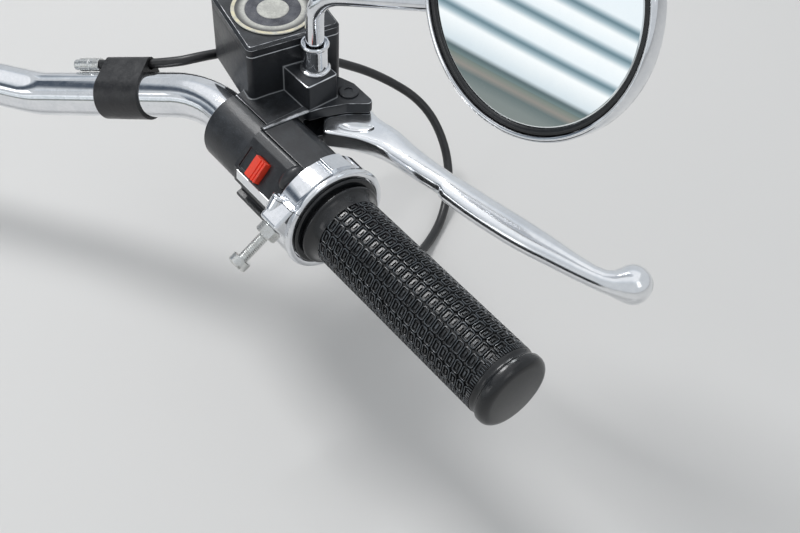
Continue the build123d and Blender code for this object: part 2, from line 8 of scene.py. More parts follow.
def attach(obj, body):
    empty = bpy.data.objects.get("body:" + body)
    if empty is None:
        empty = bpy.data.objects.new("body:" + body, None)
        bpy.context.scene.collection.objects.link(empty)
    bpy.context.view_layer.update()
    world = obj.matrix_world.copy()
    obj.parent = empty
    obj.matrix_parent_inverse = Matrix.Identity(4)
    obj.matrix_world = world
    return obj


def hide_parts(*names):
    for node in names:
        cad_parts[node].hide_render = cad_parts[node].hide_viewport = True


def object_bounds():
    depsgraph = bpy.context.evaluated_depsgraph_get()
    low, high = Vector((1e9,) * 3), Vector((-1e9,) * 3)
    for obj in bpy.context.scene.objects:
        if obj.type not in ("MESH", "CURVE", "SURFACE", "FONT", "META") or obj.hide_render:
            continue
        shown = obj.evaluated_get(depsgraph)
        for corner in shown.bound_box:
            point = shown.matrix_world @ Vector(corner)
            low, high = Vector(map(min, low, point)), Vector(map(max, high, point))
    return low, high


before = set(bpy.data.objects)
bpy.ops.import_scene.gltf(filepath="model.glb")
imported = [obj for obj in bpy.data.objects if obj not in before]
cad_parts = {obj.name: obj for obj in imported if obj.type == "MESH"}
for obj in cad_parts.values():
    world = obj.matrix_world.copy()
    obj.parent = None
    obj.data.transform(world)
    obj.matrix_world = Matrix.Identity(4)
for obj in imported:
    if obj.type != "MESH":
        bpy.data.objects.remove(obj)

cadBox = [list(corner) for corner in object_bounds()]
scene = bpy.context.scene
print("frame loaded", len(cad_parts), "nodes")

# The right-hand grip's frame: s outwards along it, w forwards and h upwards, in millimetres
layout = {
    "sweep": radians(32.0), "droop": radians(4.0), "gripRun": 0.104, "barRadius": 0.0111,
    "outerCorner": Vector((0.16230077, -0.004, 0.027)), "innerCorner": Vector((0.06130077, 0.0, 0.0)),
}
sweep, droop = layout["sweep"], layout["droop"]
along = Vector((cos(droop) * cos(sweep), -cos(droop) * sin(sweep), -sin(droop)))
across = Vector((sin(sweep), cos(sweep), 0))
upward = along.cross(across)
gripOrigin = layout["outerCorner"] + along * layout["gripRun"]
millimetre = 0.001
mirrored = Matrix.Scale(-1, 4, (1, 0, 0))


def frameFrom(origin, xAxis, yAxis, zAxis, unit=millimetre):
    turn = Matrix((xAxis, yAxis, zAxis)).transposed().to_4x4()
    return Matrix.Translation(origin) @ turn @ Matrix.Scale(unit, 4)


gripFrame = frameFrom(gripOrigin, along, across, upward)  # holds (s, w, h)
sectionFrame = frameFrom(gripOrigin, across, upward, along)  # holds (w, h, s)
toGrip, toSection = gripFrame.inverted(), sectionFrame.inverted()


def spot(s, w, h):
    return gripFrame @ Vector((s, w, h))


def axisFrame(origin, direction, hint=along):
    # The z axis runs along the direction
    zAxis = direction.normalized()
    xAxis = (hint - zAxis * hint.dot(zAxis)).normalized()
    return frameFrom(origin, xAxis, zAxis.cross(xAxis), zAxis)


def raised(height):
    return Matrix.Translation((0, 0, height))


# Camera
cameraSet = {
    "place": (0.40598, -0.41833, 0.39137), "turn": (radians(44.2447), radians(0.2381), radians(19.0541)),
    "lens": 54.79, "sensor": 36.0, "clipStart": 0.01,
}
cameraData = bpy.data.cameras.new("camera")
cameraData.lens = cameraSet["lens"]
cameraData.sensor_width = cameraSet["sensor"]
cameraData.clip_start = cameraSet["clipStart"]
camera = bpy.data.objects.new("camera", cameraData)
camera.location = cameraSet["place"]
camera.rotation_euler = Euler(cameraSet["turn"], "XYZ")
scene.collection.objects.link(camera)
scene.camera = camera
scene.view_settings.view_transform = "Standard"


# Node helpers
def addNode(tree, kind, settings=None, inputs=None):
    node = tree.nodes.new("ShaderNode" + kind)
    for key, value in (settings or {}).items():
        setattr(node, key, value)
    for key, value in (inputs or {}).items():
        if isinstance(value, bpy.types.NodeSocket):
            tree.links.new(value, node.inputs[key])
        else:
            node.inputs[key].default_value = value
    return node


def mathNode(tree, operation, first, second, clamp=False):
    settings = {"operation": operation, "use_clamp": clamp}
    return addNode(tree, "Math", settings, {0: first, 1: second}).outputs[0]


def times(tree, first, second, clamp=False):
    return mathNode(tree, "MULTIPLY", first, second, clamp)


def blendValue(tree, share, low, high):
    return addNode(tree, "Mix", {"data_type": "FLOAT"}, {0: share, 2: low, 3: high}).outputs[0]


def blendColour(tree, share, low, high):
    return addNode(tree, "Mix", {"data_type": "RGBA"}, {0: share, 6: low, 7: high}).outputs[2]


def spread(tree, value, low, high):
    inputs = {"Value": value, "From Min": low, "From Max": high}
    return addNode(tree, "MapRange", {"interpolation_type": "SMOOTHSTEP"}, inputs).outputs[0]


def noise(tree, where, scale, detail, **more):
    inputs = {"Vector": where, "Scale": scale, "Detail": detail, **more}
    return addNode(tree, "TexNoise", None, inputs).outputs[0]


def attribute(tree, name):
    return addNode(tree, "Attribute", {"attribute_name": name}).outputs["Fac"]


def newGroup(name, given, *results):
    # Inputs are numbers, or colours where the value is a tuple
    tree = bpy.data.node_groups.new(name, "ShaderNodeTree")
    for label, value in given.items():
        kind = "NodeSocketColor" if isinstance(value, tuple) else "NodeSocketFloat"
        tree.interface.new_socket(name=label, in_out="INPUT", socket_type=kind).default_value = value
    for label in results:
        kind = "NodeSocketColor" if label == "Colour" else "NodeSocketFloat"
        tree.interface.new_socket(name=label, in_out="OUTPUT", socket_type=kind)
    where = addNode(tree, "TexCoord").outputs["Object"]
    return tree, where, tree.nodes.new("NodeGroupInput").outputs, tree.nodes.new("NodeGroupOutput").inputs


patternSet = {
    "mottle": {"fineScale": 7.0, "fineShare": 0.35},
    "wear": (0.62, 0.95),
    "dust": {"up": (-0.4, 1.0), "film": (0.35, 0.75), "filmShare": 0.6, "roughness": 0.65,
             "dots": (0.62, 0.74), "dotShare": 0.7, "dotScale": 9.0},
    "scratches": {"turns": (((0.3, 0.2, 0.5), (1, 26, 26)), ((1.1, 0.7, 2.1), (1, 34, 34))), "cut": (0.66, 0.72)},
}


def makeMottle(look):
    # Two sizes of soft patches between two colours
    given = {"First": (1, 1, 1, 1), "Second": (0, 0, 0, 1), "Scale": 60.0, "Contrast": 0.2}
    tree, where, given, result = newGroup("mottle", given, "Colour", "Share")
    broad = noise(tree, where, given["Scale"], 3.0)
    fine = noise(tree, where, times(tree, given["Scale"], look["fineScale"]), 2.0)
    ends = [mathNode(tree, operation, 0.5, given["Contrast"]) for operation in ("SUBTRACT", "ADD")]
    share = spread(tree, blendValue(tree, look["fineShare"], broad, fine), *ends)
    tree.links.new(blendColour(tree, share, given["First"], given["Second"]), result["Colour"])
    tree.links.new(share, result["Share"])
    return tree


def makeGrain():
    # Height of a fine moulded or cast grain
    tree, where, given, result = newGroup("grain", {"Scale": 900.0, "Pits": 0.3}, "Height")
    inputs = {"Vector": where, "Scale": given["Scale"]}
    cells = addNode(tree, "TexVoronoi", {"feature": "SMOOTH_F1"}, inputs).outputs["Distance"]
    grain = blendValue(tree, given["Pits"], noise(tree, where, given["Scale"], 2.0), cells)
    tree.links.new(grain, result["Height"])
    return tree


def makeEdgeWearAndSheen(cut):
    # Mask of bare metal along the edges that the wear attribute marks, and on the grips of paler rubber that is partly
    # wear and partly a painted sheen
    tree, where, given, result = newGroup("edgeWearAndSheen", {"Amount": 0.5, "Scale": 260.0}, "Mask")
    chips = mathNode(tree, "ADD", noise(tree, where, given["Scale"], 4.0), given["Amount"])
    tree.links.new(spread(tree, times(tree, attribute(tree, "wear"), chips), *cut), result["Mask"])
    return tree


def makeDustAndSheen(look):
    # Mask of pale dust, heavier on faces that look up; on the black alloy and black plastic its bluish colour is also
    # a painted sheen on the up-facing faces
    tree, where, given, result = newGroup("dust", {"Amount": 0.2, "Scale": 180.0}, "Mask")
    normal = addNode(tree, "NewGeometry").outputs["Normal"]
    facing = spread(tree, addNode(tree, "SeparateXYZ", None, {0: normal}).outputs[2], *look["up"])
    broad = noise(tree, where, given["Scale"], 6.0, Roughness=look["roughness"])
    specks = noise(tree, where, times(tree, given["Scale"], look["dotScale"]), 1.0)
    film = times(tree, spread(tree, broad, *look["film"]), look["filmShare"])
    dots = times(tree, spread(tree, specks, *look["dots"]), look["dotShare"])
    shaped = times(tree, mathNode(tree, "ADD", film, dots), facing)
    tree.links.new(times(tree, shaped, given["Amount"], True), result["Mask"])
    return tree


def makeScratches(look):
    # Thin lines in two directions, broken into short lengths
    tree, where, given, result = newGroup("scratches", {"Scale": 40.0, "Amount": 0.5}, "Mask")
    masks = []
    for turn, stretch in look["turns"]:
        inputs = {"Vector": where, "Rotation": turn, "Scale": stretch}
        turned = addNode(tree, "Mapping", None, inputs).outputs[0]
        masks.append(spread(tree, noise(tree, turned, given["Scale"], 1.0), *look["cut"]))
    both = mathNode(tree, "MAXIMUM", *masks)
    tree.links.new(times(tree, both, given["Amount"], True), result["Mask"])
    return tree


groups = {
    "mottle": makeMottle(patternSet["mottle"]), "grain": makeGrain(), "edgeWearAndSheen": makeEdgeWearAndSheen(patternSet["wear"]),
    "dust": makeDustAndSheen(patternSet["dust"]), "scratches": makeScratches(patternSet["scratches"]),
}


def addGroup(tree, name, **inputs):
    return addNode(tree, "Group", {"node_tree": groups[name]}, inputs).outputs


# Colours are of the surface and its patches. Patches hold scale and contrast, scratches scale, amount
# and colour, wear amount, scale, colour, roughness and metallic, dust-and-sheen amount, scale and colour,
# and grain scale, pits and depth in metres. The slot is the record's.
finishSet = {"scratchRoughness": 0.25, "scratchShare": 0.5, "crease": (0.15, 0.9), "dustAndSheenRoughness": 0.8}
finishes = {
    "chromePlate": {
        "colours": ((0.86, 0.87, 0.89), (0.74, 0.76, 0.79)), "patches": (90.0, 0.2),
        "roughness": (0.035, 0.10), "metallic": 1.0, "dust": (0.08, 300.0, (0.32, 0.31, 0.30)),
        "scratches": (60.0, 0.30, (0.55, 0.56, 0.58)), "grain": (220.0, 0.1, 0.000012), "slot": "chrome",
    },
    "polishedAlloy": {
        "colours": ((0.88, 0.89, 0.90), (0.78, 0.80, 0.83)), "patches": (40.0, 0.2),
        "roughness": (0.13, 0.20), "metallic": 1.0, "dust": (0.03, 260.0, (0.45, 0.45, 0.45)),
        "scratches": (45.0, 0.22, (0.62, 0.63, 0.65)), "grain": (300.0, 0.0, 0.000008), "slot": "polished_alloy",
    },
    "blackAlloy": {
        "colours": ((0.0075, 0.0085, 0.0105), (0.014, 0.016, 0.020)), "patches": (60.0, 0.2),
        # The bluish dust colour is partly dust and partly a painted sheen on the up-facing faces
        "roughness": (0.34, 0.50), "dust": (0.34, 150.0, (0.095, 0.110, 0.130)),
        "wear": (0.42, 210.0, (0.70, 0.72, 0.75), 0.30, 1.0), "crease": (0.22, 0.23, 0.24),
        "grain": (1500.0, 0.4, 0.00008), "slot": "black_alloy",
        "sockets": {"Specular IOR Level": 0.40, "Coat Weight": 0.2, "Coat Roughness": 0.14},
    },
    "blackRubber": {
        "colours": ((0.0065, 0.0070, 0.0080), (0.011, 0.012, 0.0135)), "patches": (80.0, 0.2),
        "roughness": (0.17, 0.26), "dust": (0.12, 220.0, (0.10, 0.105, 0.11)),
        # The pale bluish wear colour on the grip's ring and rib crests is partly wear and partly a painted sheen where
        # they catch the light
        "wear": (0.34, 420.0, (0.075, 0.085, 0.095), 0.24, 0.0),
        "grain": (1800.0, 0.3, 0.00003), "slot": "black_rubber", "sockets": {"Specular IOR Level": 0.5},
    },
    "blackPlastic": {
        "colours": ((0.008, 0.009, 0.011), (0.015, 0.016, 0.019)), "patches": (120.0, 0.2),
        # The bluish dust colour is partly dust and partly a painted sheen on the up-facing faces
        "roughness": (0.32, 0.46), "dust": (0.26, 180.0, (0.085, 0.100, 0.115)),
        "wear": (0.12, 300.0, (0.30, 0.32, 0.34), 0.4, 0.0), "crease": (0.05, 0.055, 0.06),
        "grain": (2000.0, 0.4, 0.00006), "slot": "black_plastic",
        "sockets": {"Specular IOR Level": 0.45, "Coat Weight": 0.25, "Coat Roughness": 0.12},
    },
    "redPlastic": {
        "colours": ((0.86, 0.060, 0.026), (0.78, 0.050, 0.022)), "patches": (150.0, 0.2),
        "roughness": (0.28, 0.42), "dust": (0.12, 300.0, (0.5, 0.22, 0.17)),
        # The darker crease colour is painted shade in the inner corners
        "wear": (0.30, 500.0, (0.85, 0.30, 0.22), 0.5, 0.0), "crease": (0.32, 0.015, 0.01),
        "grain": (2200.0, 0.3, 0.00004), "slot": "red_plastic",
    },
    "yellowPlastic": {
        "colours": ((0.62, 0.36, 0.02), (0.52, 0.29, 0.02)), "patches": (150.0, 0.2),
        "roughness": (0.3, 0.45), "dust": (0.15, 300.0, (0.4, 0.3, 0.16)),
        # The darker crease colour is painted shade in the inner corners
        "wear": (0.25, 500.0, (0.8, 0.6, 0.25), 0.5, 0.0), "crease": (0.25, 0.13, 0.01),
        "grain": (2200.0, 0.3, 0.00004), "slot": "yellow_plastic",
    },
    "zincSteel": {
        "colours": ((0.78, 0.79, 0.78), (0.58, 0.58, 0.56)), "patches": (240.0, 0.2),
        "roughness": (0.16, 0.32), "metallic": 1.0, "dust": (0.20, 400.0, (0.20, 0.17, 0.13)),
        "grain": (1600.0, 0.5, 0.00008), "slot": "zinc_steel",
    },
    "labelPlate": {
        "colours": ((0.62, 0.62, 0.57), (0.44, 0.44, 0.41)), "patches": (150.0, 0.14),
        "roughness": (0.3, 0.5), "dust": (0.30, 260.0, (0.12, 0.12, 0.11)),
        # The dark crease colour is painted shade in the groove at the rim's foot
        "wear": (0.34, 230.0, (0.74, 0.68, 0.48), 0.4, 0.0), "crease": (0.07, 0.07, 0.07),
        "grain": (1400.0, 0.4, 0.00005), "slot": "label_plate",
    },
    "labelField": {
        "colours": ((0.020, 0.022, 0.034), (0.060, 0.065, 0.085)), "patches": (160.0, 0.2),
        "roughness": (0.35, 0.5), "dust": (0.35, 220.0, (0.3, 0.3, 0.3)),
        "grain": (1400.0, 0.4, 0.00005), "slot": "label_plate",
    },
    "mirrorGlass": {
        "colours": ((0.88, 0.92, 0.93), (0.85, 0.90, 0.92)), "patches": (30.0, 0.2),
        "roughness": (0.0, 0.015), "metallic": 1.0, "dust": (0.03, 400.0, (0.4, 0.4, 0.4)),
        "grain": (40.0, 0.0, 0.000002), "slot": "mirror_glass",
    },
    "cableCover": {
        "colours": ((0.008, 0.008, 0.009), (0.014, 0.014, 0.016)), "patches": (90.0, 0.2),
        "roughness": (0.30, 0.42), "dust": (0.18, 200.0, (0.12, 0.12, 0.12)),
        "grain": (1400.0, 0.2, 0.00005),
    },
    "tape": {
        "colours": ((0.008, 0.008, 0.009), (0.016, 0.016, 0.018)), "patches": (90.0, 0.2),
        "roughness": (0.26, 0.44), "dust": (0.3, 200.0, (0.12, 0.12, 0.12)),
        "grain": (600.0, 0.3, 0.00015),
    },
}


def finishOf(name, look):
    material = bpy.data.materials.new(name)
    material.use_nodes = True
    tree = material.node_tree
    tree.nodes.clear()
    shader = addNode(tree, "BsdfPrincipled", None, look.get("sockets"))
    tree.links.new(shader.outputs[0], addNode(tree, "OutputMaterial").inputs[0])
    first, second = ((*colour, 1) for colour in look["colours"])
    scale, contrast = look["patches"]
    mottle = addGroup(tree, "mottle", First=first, Second=second, Scale=scale, Contrast=contrast)
    colour, metallic = mottle["Colour"], look.get("metallic", 0.0)
    roughness = blendValue(tree, mottle["Share"], *look["roughness"])
    if "scratches" in look:
        scale, amount, pale = look["scratches"]
        mask = addGroup(tree, "scratches", Scale=scale, Amount=amount)["Mask"]
        roughness = mathNode(tree, "ADD", roughness, times(tree, mask, finishSet["scratchRoughness"]))
        colour = blendColour(tree, times(tree, mask, finishSet["scratchShare"]), colour, (*pale, 1))
    if "wear" in look:
        amount, scale, bare, bareRoughness, bareMetallic = look["wear"]
        mask = addGroup(tree, "edgeWearAndSheen", Amount=amount, Scale=scale)["Mask"]
        colour = blendColour(tree, mask, colour, (*bare, 1))
        roughness = blendValue(tree, mask, roughness, bareRoughness)
        metallic = blendValue(tree, mask, metallic, bareMetallic)
    # The crease colour goes into inner corners: pale dust on the black finishes, and painted shade, darker than the
    # surface, on the red, yellow and label finishes
    if "crease" in look:
        inner = spread(tree, attribute(tree, "crease"), *finishSet["crease"])
        colour = blendColour(tree, inner, colour, (*look["crease"], 1))
    amount, scale, pale = look["dust"]
    mask = addGroup(tree, "dust", Amount=amount, Scale=scale)["Mask"]
    scale, pits, depth = look["grain"]
    grain = addGroup(tree, "grain", Scale=scale, Pits=pits)["Height"]
    bump = addNode(tree, "Bump", None, {"Height": grain, "Strength": 1.0, "Distance": depth})
    for label, source in (
        ("Base Color", blendColour(tree, mask, colour, (*pale, 1))), ("Normal", bump.outputs[0]),
        ("Roughness", blendValue(tree, mask, roughness, finishSet["dustAndSheenRoughness"])),
        ("Metallic", blendValue(tree, mask, metallic, 0.0)),
    ):
        tree.links.new(source, shader.inputs[label])
    return material


materials = {name: finishOf(name, look) for name, look in finishes.items()}
print("materials", len(materials))


# Distances and angles under which points and faces are merged
mergeSet = {
    "shape": 1e-4, "carvedAngle": radians(0.3), "node": 2e-6, "nodeAngle": radians(0.4), "degenerate": 0.00012,
    "slice": 1e-5, "split": 1e-7, "sleeve": 2e-3,
}


# Mesh helpers, with angles in degrees
def sharpEdges(bm, angle):
    return [edge for edge in bm.edges if len(edge.link_faces) == 2 and edge.calc_face_angle(0.0) > radians(angle)]


def layerOf(bm, name):
    return bm.verts.layers.float.get(name) or bm.verts.layers.float.new(name)


def roundEdges(bm, width, angle=28, segments=2, edges=None, clamp=True):
    # Bevels the sharp edges, and marks outer ones as worn and inner ones as creases
    wear, crease = layerOf(bm, "wear"), layerOf(bm, "crease")
    chosen = sharpEdges(bm, angle) if edges is None else edges
    made = bmesh.ops.bevel(
        bm, geom=chosen, offset=width, offset_type="OFFSET", affect="EDGES",
        segments=segments, profile=0.5, material=-1, clamp_overlap=clamp)
    bm.normal_update()
    faces = set(made["faces"])
    for vert in made["verts"]:
        if vert.is_valid and all(face in faces for face in vert.link_faces):
            bend = sum(edge.calc_face_angle_signed(0.0) for edge in vert.link_edges)
            vert[wear if bend > 0 else crease] = 1.0


def spinProfile(profile, steps):
    # Profile of (height, radius) pairs, turned about the z axis
    bm = bmesh.new()
    verts = [bm.verts.new((radius, 0, height)) for height, radius in profile]
    edges = [bm.edges.new(pair) for pair in zip(verts, verts[1:])]
    bmesh.ops.spin(
        bm, geom=verts + edges, cent=(0, 0, 0), axis=(0, 0, 1), dvec=(0, 0, 0),
        angle=2 * pi, steps=steps, use_merge=True, use_duplicate=False)
    bmesh.ops.remove_doubles(bm, verts=bm.verts, dist=mergeSet["shape"])
    bmesh.ops.recalc_face_normals(bm, faces=bm.faces)
    return bm


def prism(outline, low, high):
    # Flat outline pulled up into a closed solid
    bm = bmesh.new()
    base = bm.faces.new([bm.verts.new((x, y, low)) for x, y in outline])
    pulled = bmesh.ops.extrude_face_region(bm, geom=[base])
    bmesh.ops.translate(bm, verts=only(bmesh.types.BMVert, pulled["geom"]), vec=(0, 0, high - low))
    bmesh.ops.recalc_face_normals(bm, faces=bm.faces)
    return bm


def block(halfX, halfY, low, high):
    return prism([(-halfX, -halfY), (halfX, -halfY), (halfX, halfY), (-halfX, halfY)], low, high)


def rod(radius, low, high, sides):
    bm = bmesh.new()
    bmesh.ops.create_cone(bm, cap_ends=True, segments=sides, radius1=radius, radius2=radius, depth=high - low)
    bmesh.ops.translate(bm, verts=bm.verts, vec=(0, 0, (low + high) / 2))
    return bm


def ball(place, columns, rows):
    bm = bmesh.new()
    bmesh.ops.create_uvsphere(bm, u_segments=columns, v_segments=rows, radius=1)
    return moved(bm, place)


def moved(bm, matrix):
    bmesh.ops.transform(bm, matrix=matrix, verts=bm.verts)
    return bm


def sliced(bm, point, normal, merge):
    # Cuts away what lies behind a plane
    return bmesh.ops.bisect_plane(
        bm, geom=bm.verts[:] + bm.edges[:] + bm.faces[:], dist=merge,
        plane_co=point, plane_no=normal, clear_inner=True)["geom_cut"]


def inset(bm, faces, thickness, depth):
    bmesh.ops.inset_individual(bm, faces=faces, thickness=thickness, depth=depth, use_even_offset=True)


def only(kind, items):
    return [item for item in items if isinstance(item, kind)]


def joinInto(target, extra):
    # Adds the other bmesh's shape to the first one
    mesh = bpy.data.meshes.new("joined")
    extra.to_mesh(mesh)
    target.from_mesh(mesh)
    bpy.data.meshes.remove(mesh)
    extra.free()
    return target


def carve(bm, cutter, operation="DIFFERENCE"):
    # Exact cut of one closed shape by another
    holders = []
    for shape in (bm, cutter):
        mesh = bpy.data.meshes.new("carving")
        shape.to_mesh(mesh)
        holders.append(bpy.data.objects.new("carving", mesh))
        scene.collection.objects.link(holders[-1])
    modifier = holders[0].modifiers.new("carve", "BOOLEAN")
    modifier.object, modifier.operation, modifier.solver = holders[1], operation, "EXACT"
    bpy.context.view_layer.update()
    result = bpy.data.meshes.new_from_object(holders[0].evaluated_get(bpy.context.evaluated_depsgraph_get()))
    bm.clear()
    bm.from_mesh(result)
    for mesh in [result] + [holder.data for holder in holders]:
        bpy.data.meshes.remove(mesh)
    cutter.free()
    bmesh.ops.remove_doubles(bm, verts=bm.verts, dist=mergeSet["shape"])
    bmesh.ops.dissolve_limit(bm, angle_limit=mergeSet["carvedAngle"], verts=bm.verts, edges=bm.edges)
    return bm


def camelCase(node):
    first, *rest = node.split("_")
    return first + "".join(word.capitalize() for word in rest)


def placePiece(
    bm, node, material, place=None, body="handlebar", name=None, slotName=None, sharp=42, weighted=True,
    replaces=True,
):
    # Takes its name from the node, unless it has one of its own
    name = name or camelCase(node)
    if place is not None:
        moved(bm, place)
        if place.determinant() < 0:
            bmesh.ops.reverse_faces(bm, faces=bm.faces)
    for face in bm.faces:
        face.smooth = True
    for edge in bm.edges:
        edge.smooth = edge.calc_face_angle(0.0) < radians(sharp)
    mesh = bpy.data.meshes.new(name)
    bm.to_mesh(mesh)
    if "custom_normal" in mesh.attributes:
        mesh.attributes.remove(mesh.attributes["custom_normal"])
    mesh.materials.append(materials[material])
    piece = bpy.data.objects.new(name, mesh)
    scene.collection.objects.link(piece)
    if weighted:
        piece.modifiers.new("weighted", "WEIGHTED_NORMAL").keep_sharp = True
    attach(piece, body)
    if replaces:
        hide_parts(node)


def placeBoth(bm, place, nodes, bodies=("handlebar", "handlebar"), **options):
    # The same shape on the right and, mirrored, on the left
    sides = (bm, place), (bm.copy(), mirrored @ place)
    for (shape, where), node, body in zip(sides, nodes, bodies):
        placePiece(shape, node, place=where, body=body, **options)


def nodeCopy(name, angle=None):
    # A merged copy of a CAD node's mesh, in metres
    bm = bmesh.new()
    bm.from_mesh(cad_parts[name].data)
    bmesh.ops.remove_doubles(bm, verts=bm.verts, dist=mergeSet["node"])
    if angle:
        bmesh.ops.dissolve_limit(bm, angle_limit=angle, verts=bm.verts, edges=bm.edges)
    return bm


def loftRings(sections, steps, setRing):
    # One ring of verts pulled on from section to section and closed at both ends
    bm = bmesh.new()
    turn = layerOf(bm, "turn")
    bmesh.ops.create_circle(bm, cap_ends=False, segments=steps, radius=1)
    for vert in bm.verts:
        vert[turn] = atan2(vert.co.y, vert.co.x)
    ring, edges = bm.verts[:], bm.edges[:]
    ends = [edges]
    for index, section in enumerate(sections):
        if index:
            made = bmesh.ops.extrude_edge_only(bm, edges=edges)["geom"]
            ring = only(bmesh.types.BMVert, made)
            fresh = set(ring)
            edges = [edge for edge in only(bmesh.types.BMEdge, made) if set(edge.verts) <= fresh]
        for vert in ring:
            vert.co = setRing(section, vert[turn])
    ends.append(edges)
    for loop in ends:
        bmesh.ops.edgeloop_fill(bm, edges=loop)
    bmesh.ops.recalc_face_normals(bm, faces=bm.faces)
    return bm


# Throttle cable
cableSet = {
    "diameter": 0.005, "length": 0.421, "elbowTurn": radians(-76.0), "elbowLean": radians(30.0),
    "elbowAt": -8.0, "housingRadius": 26.0, "elbowLength": 11.0, "firstRun": 27.0, "ferruleRadius": 0.0034,
    "wrapStart": 0.0335, "wrapLength": 0.026, "strapLead": 0.0095, "strapTail": 0.005, "gap": 0.0003,
    "strapUp": Vector((0, 0.6, 0.8)), "roundness": 5, "steps": 16,
    "route": [(-18, 52, -88), (-32, 84, -106), (-48, 114, -108), (-70, 135, -93), (-96, 138, -72),
              (-117, 118, -54), (-126, 90, -36), (-125, 62, -16), (-123, 36, -1), (-123, 13, 6)],
}
elbowDir = across * sin(cableSet["elbowLean"]) - upward * cos(cableSet["elbowLean"])
elbowFoot = spot(
    cableSet["elbowAt"], cableSet["housingRadius"] * cos(cableSet["elbowTurn"]),
    cableSet["housingRadius"] * sin(cableSet["elbowTurn"]))
cableStart = elbowFoot + elbowDir * cableSet["elbowLength"] * millimetre
riseDir = (layout["innerCorner"] - layout["outerCorner"]).normalized()
strapDir = (cableSet["strapUp"] - riseDir * riseDir.dot(cableSet["strapUp"])).normalized()
strapOffset = layout["barRadius"] + cableSet["ferruleRadius"] + cableSet["gap"]


def strapped(distance):
    return layout["outerCorner"] + riseDir * distance + strapDir * strapOffset


strapNear = strapped(cableSet["wrapStart"] - cableSet["strapLead"])
strapFar = strapped(cableSet["wrapStart"] + cableSet["wrapLength"] + cableSet["strapTail"])
cablePoints = [cableStart, cableStart + elbowDir * cableSet["firstRun"] * millimetre]
cablePoints += [spot(*point) for point in cableSet["route"]] + [strapNear, strapFar]
cableCurve = bpy.data.curves.new("throttleCable", "CURVE")
cableCurve.dimensions = "3D"
cableCurve.bevel_depth = cableSet["diameter"] / 2
cableCurve.bevel_resolution = cableSet["roundness"]
cableCurve.resolution_u = cableSet["steps"]
cableCurve.use_fill_caps = True
cableLine = cableCurve.splines.new("NURBS")
cableLine.points.add(len(cablePoints) - 1)
for point, place in zip(cableLine.points, cablePoints):
    point.co = (*place, 1)
cableLine.order_u = 3
cableLine.use_endpoint_u = True
cableCurve.materials.append(materials["cableCover"])
cable = bpy.data.objects.new("throttleCable", cableCurve)
scene.collection.objects.link(cable)
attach(cable, "handlebar")
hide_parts("throttle_cable")
print("cable laid")


# Grips: plain turned parts from the profile, with rings and ribs on them
gripSet = {
    "length": 118.4, "core": 110.4, "steps": 96, "sharp": 50, "skin": 0.02,
    "flange": [(-2.0, 22.0), (-1.5, 22.5), (0.4, 22.5), (0.9, 22.0), (1.0, 21.5), (1.0, 18.6), (2.6, 18.6)],
    "bead": [(2.6, 19.8), (2.85, 20.25), (3.3, 20.4), (3.9, 20.3), (4.2, 19.95)],
    "cone": [(4.4, 19.4), (5.0, 18.6), (6.0, 17.9), (7.4, 17.35), (8.8, 17.05), (9.5, 16.95)],
    "floor": 15.75, "texture": (9.55, 106.45), "rows": 17, "pitch": 4.3, "shearTurns": 2, "phase": 0.19,
    "cornerCut": 0.75, "inset": 0.16, "nub": (1.15, 2.4), "nubFoot": (0.1, 0.0), "nubTop": (0.16, 0.66),
    "walls": [(0.10, 0.92), (0.12, 0.25), (0.26, 0.05), (0.14, -0.22), (0.12, -0.75)],
    "ribs": (106.6, 108.8), "ribCount": 84, "ribRadius": (16.25, 16.95),
    "shoulder": [(109.0, 16.75), (109.9, 16.7), (110.4, 16.35), (111.2, 16.2), (112.0, 16.3), (112.6, 16.8)],
    "cap": [(112.9, 17.4), (113.3, 17.6), (115.4, 17.55), (116.4, 17.2), (117.2, 16.6), (117.85, 15.8),
            (118.2, 14.9), (118.4, 13.9)],
    "slopeWearAndSheen": (0.8, 0.85), "crestWear": (1.1, 1.0), "lap": 0.05, "ribLead": 0.1, "ribMargin": 0.01,
}


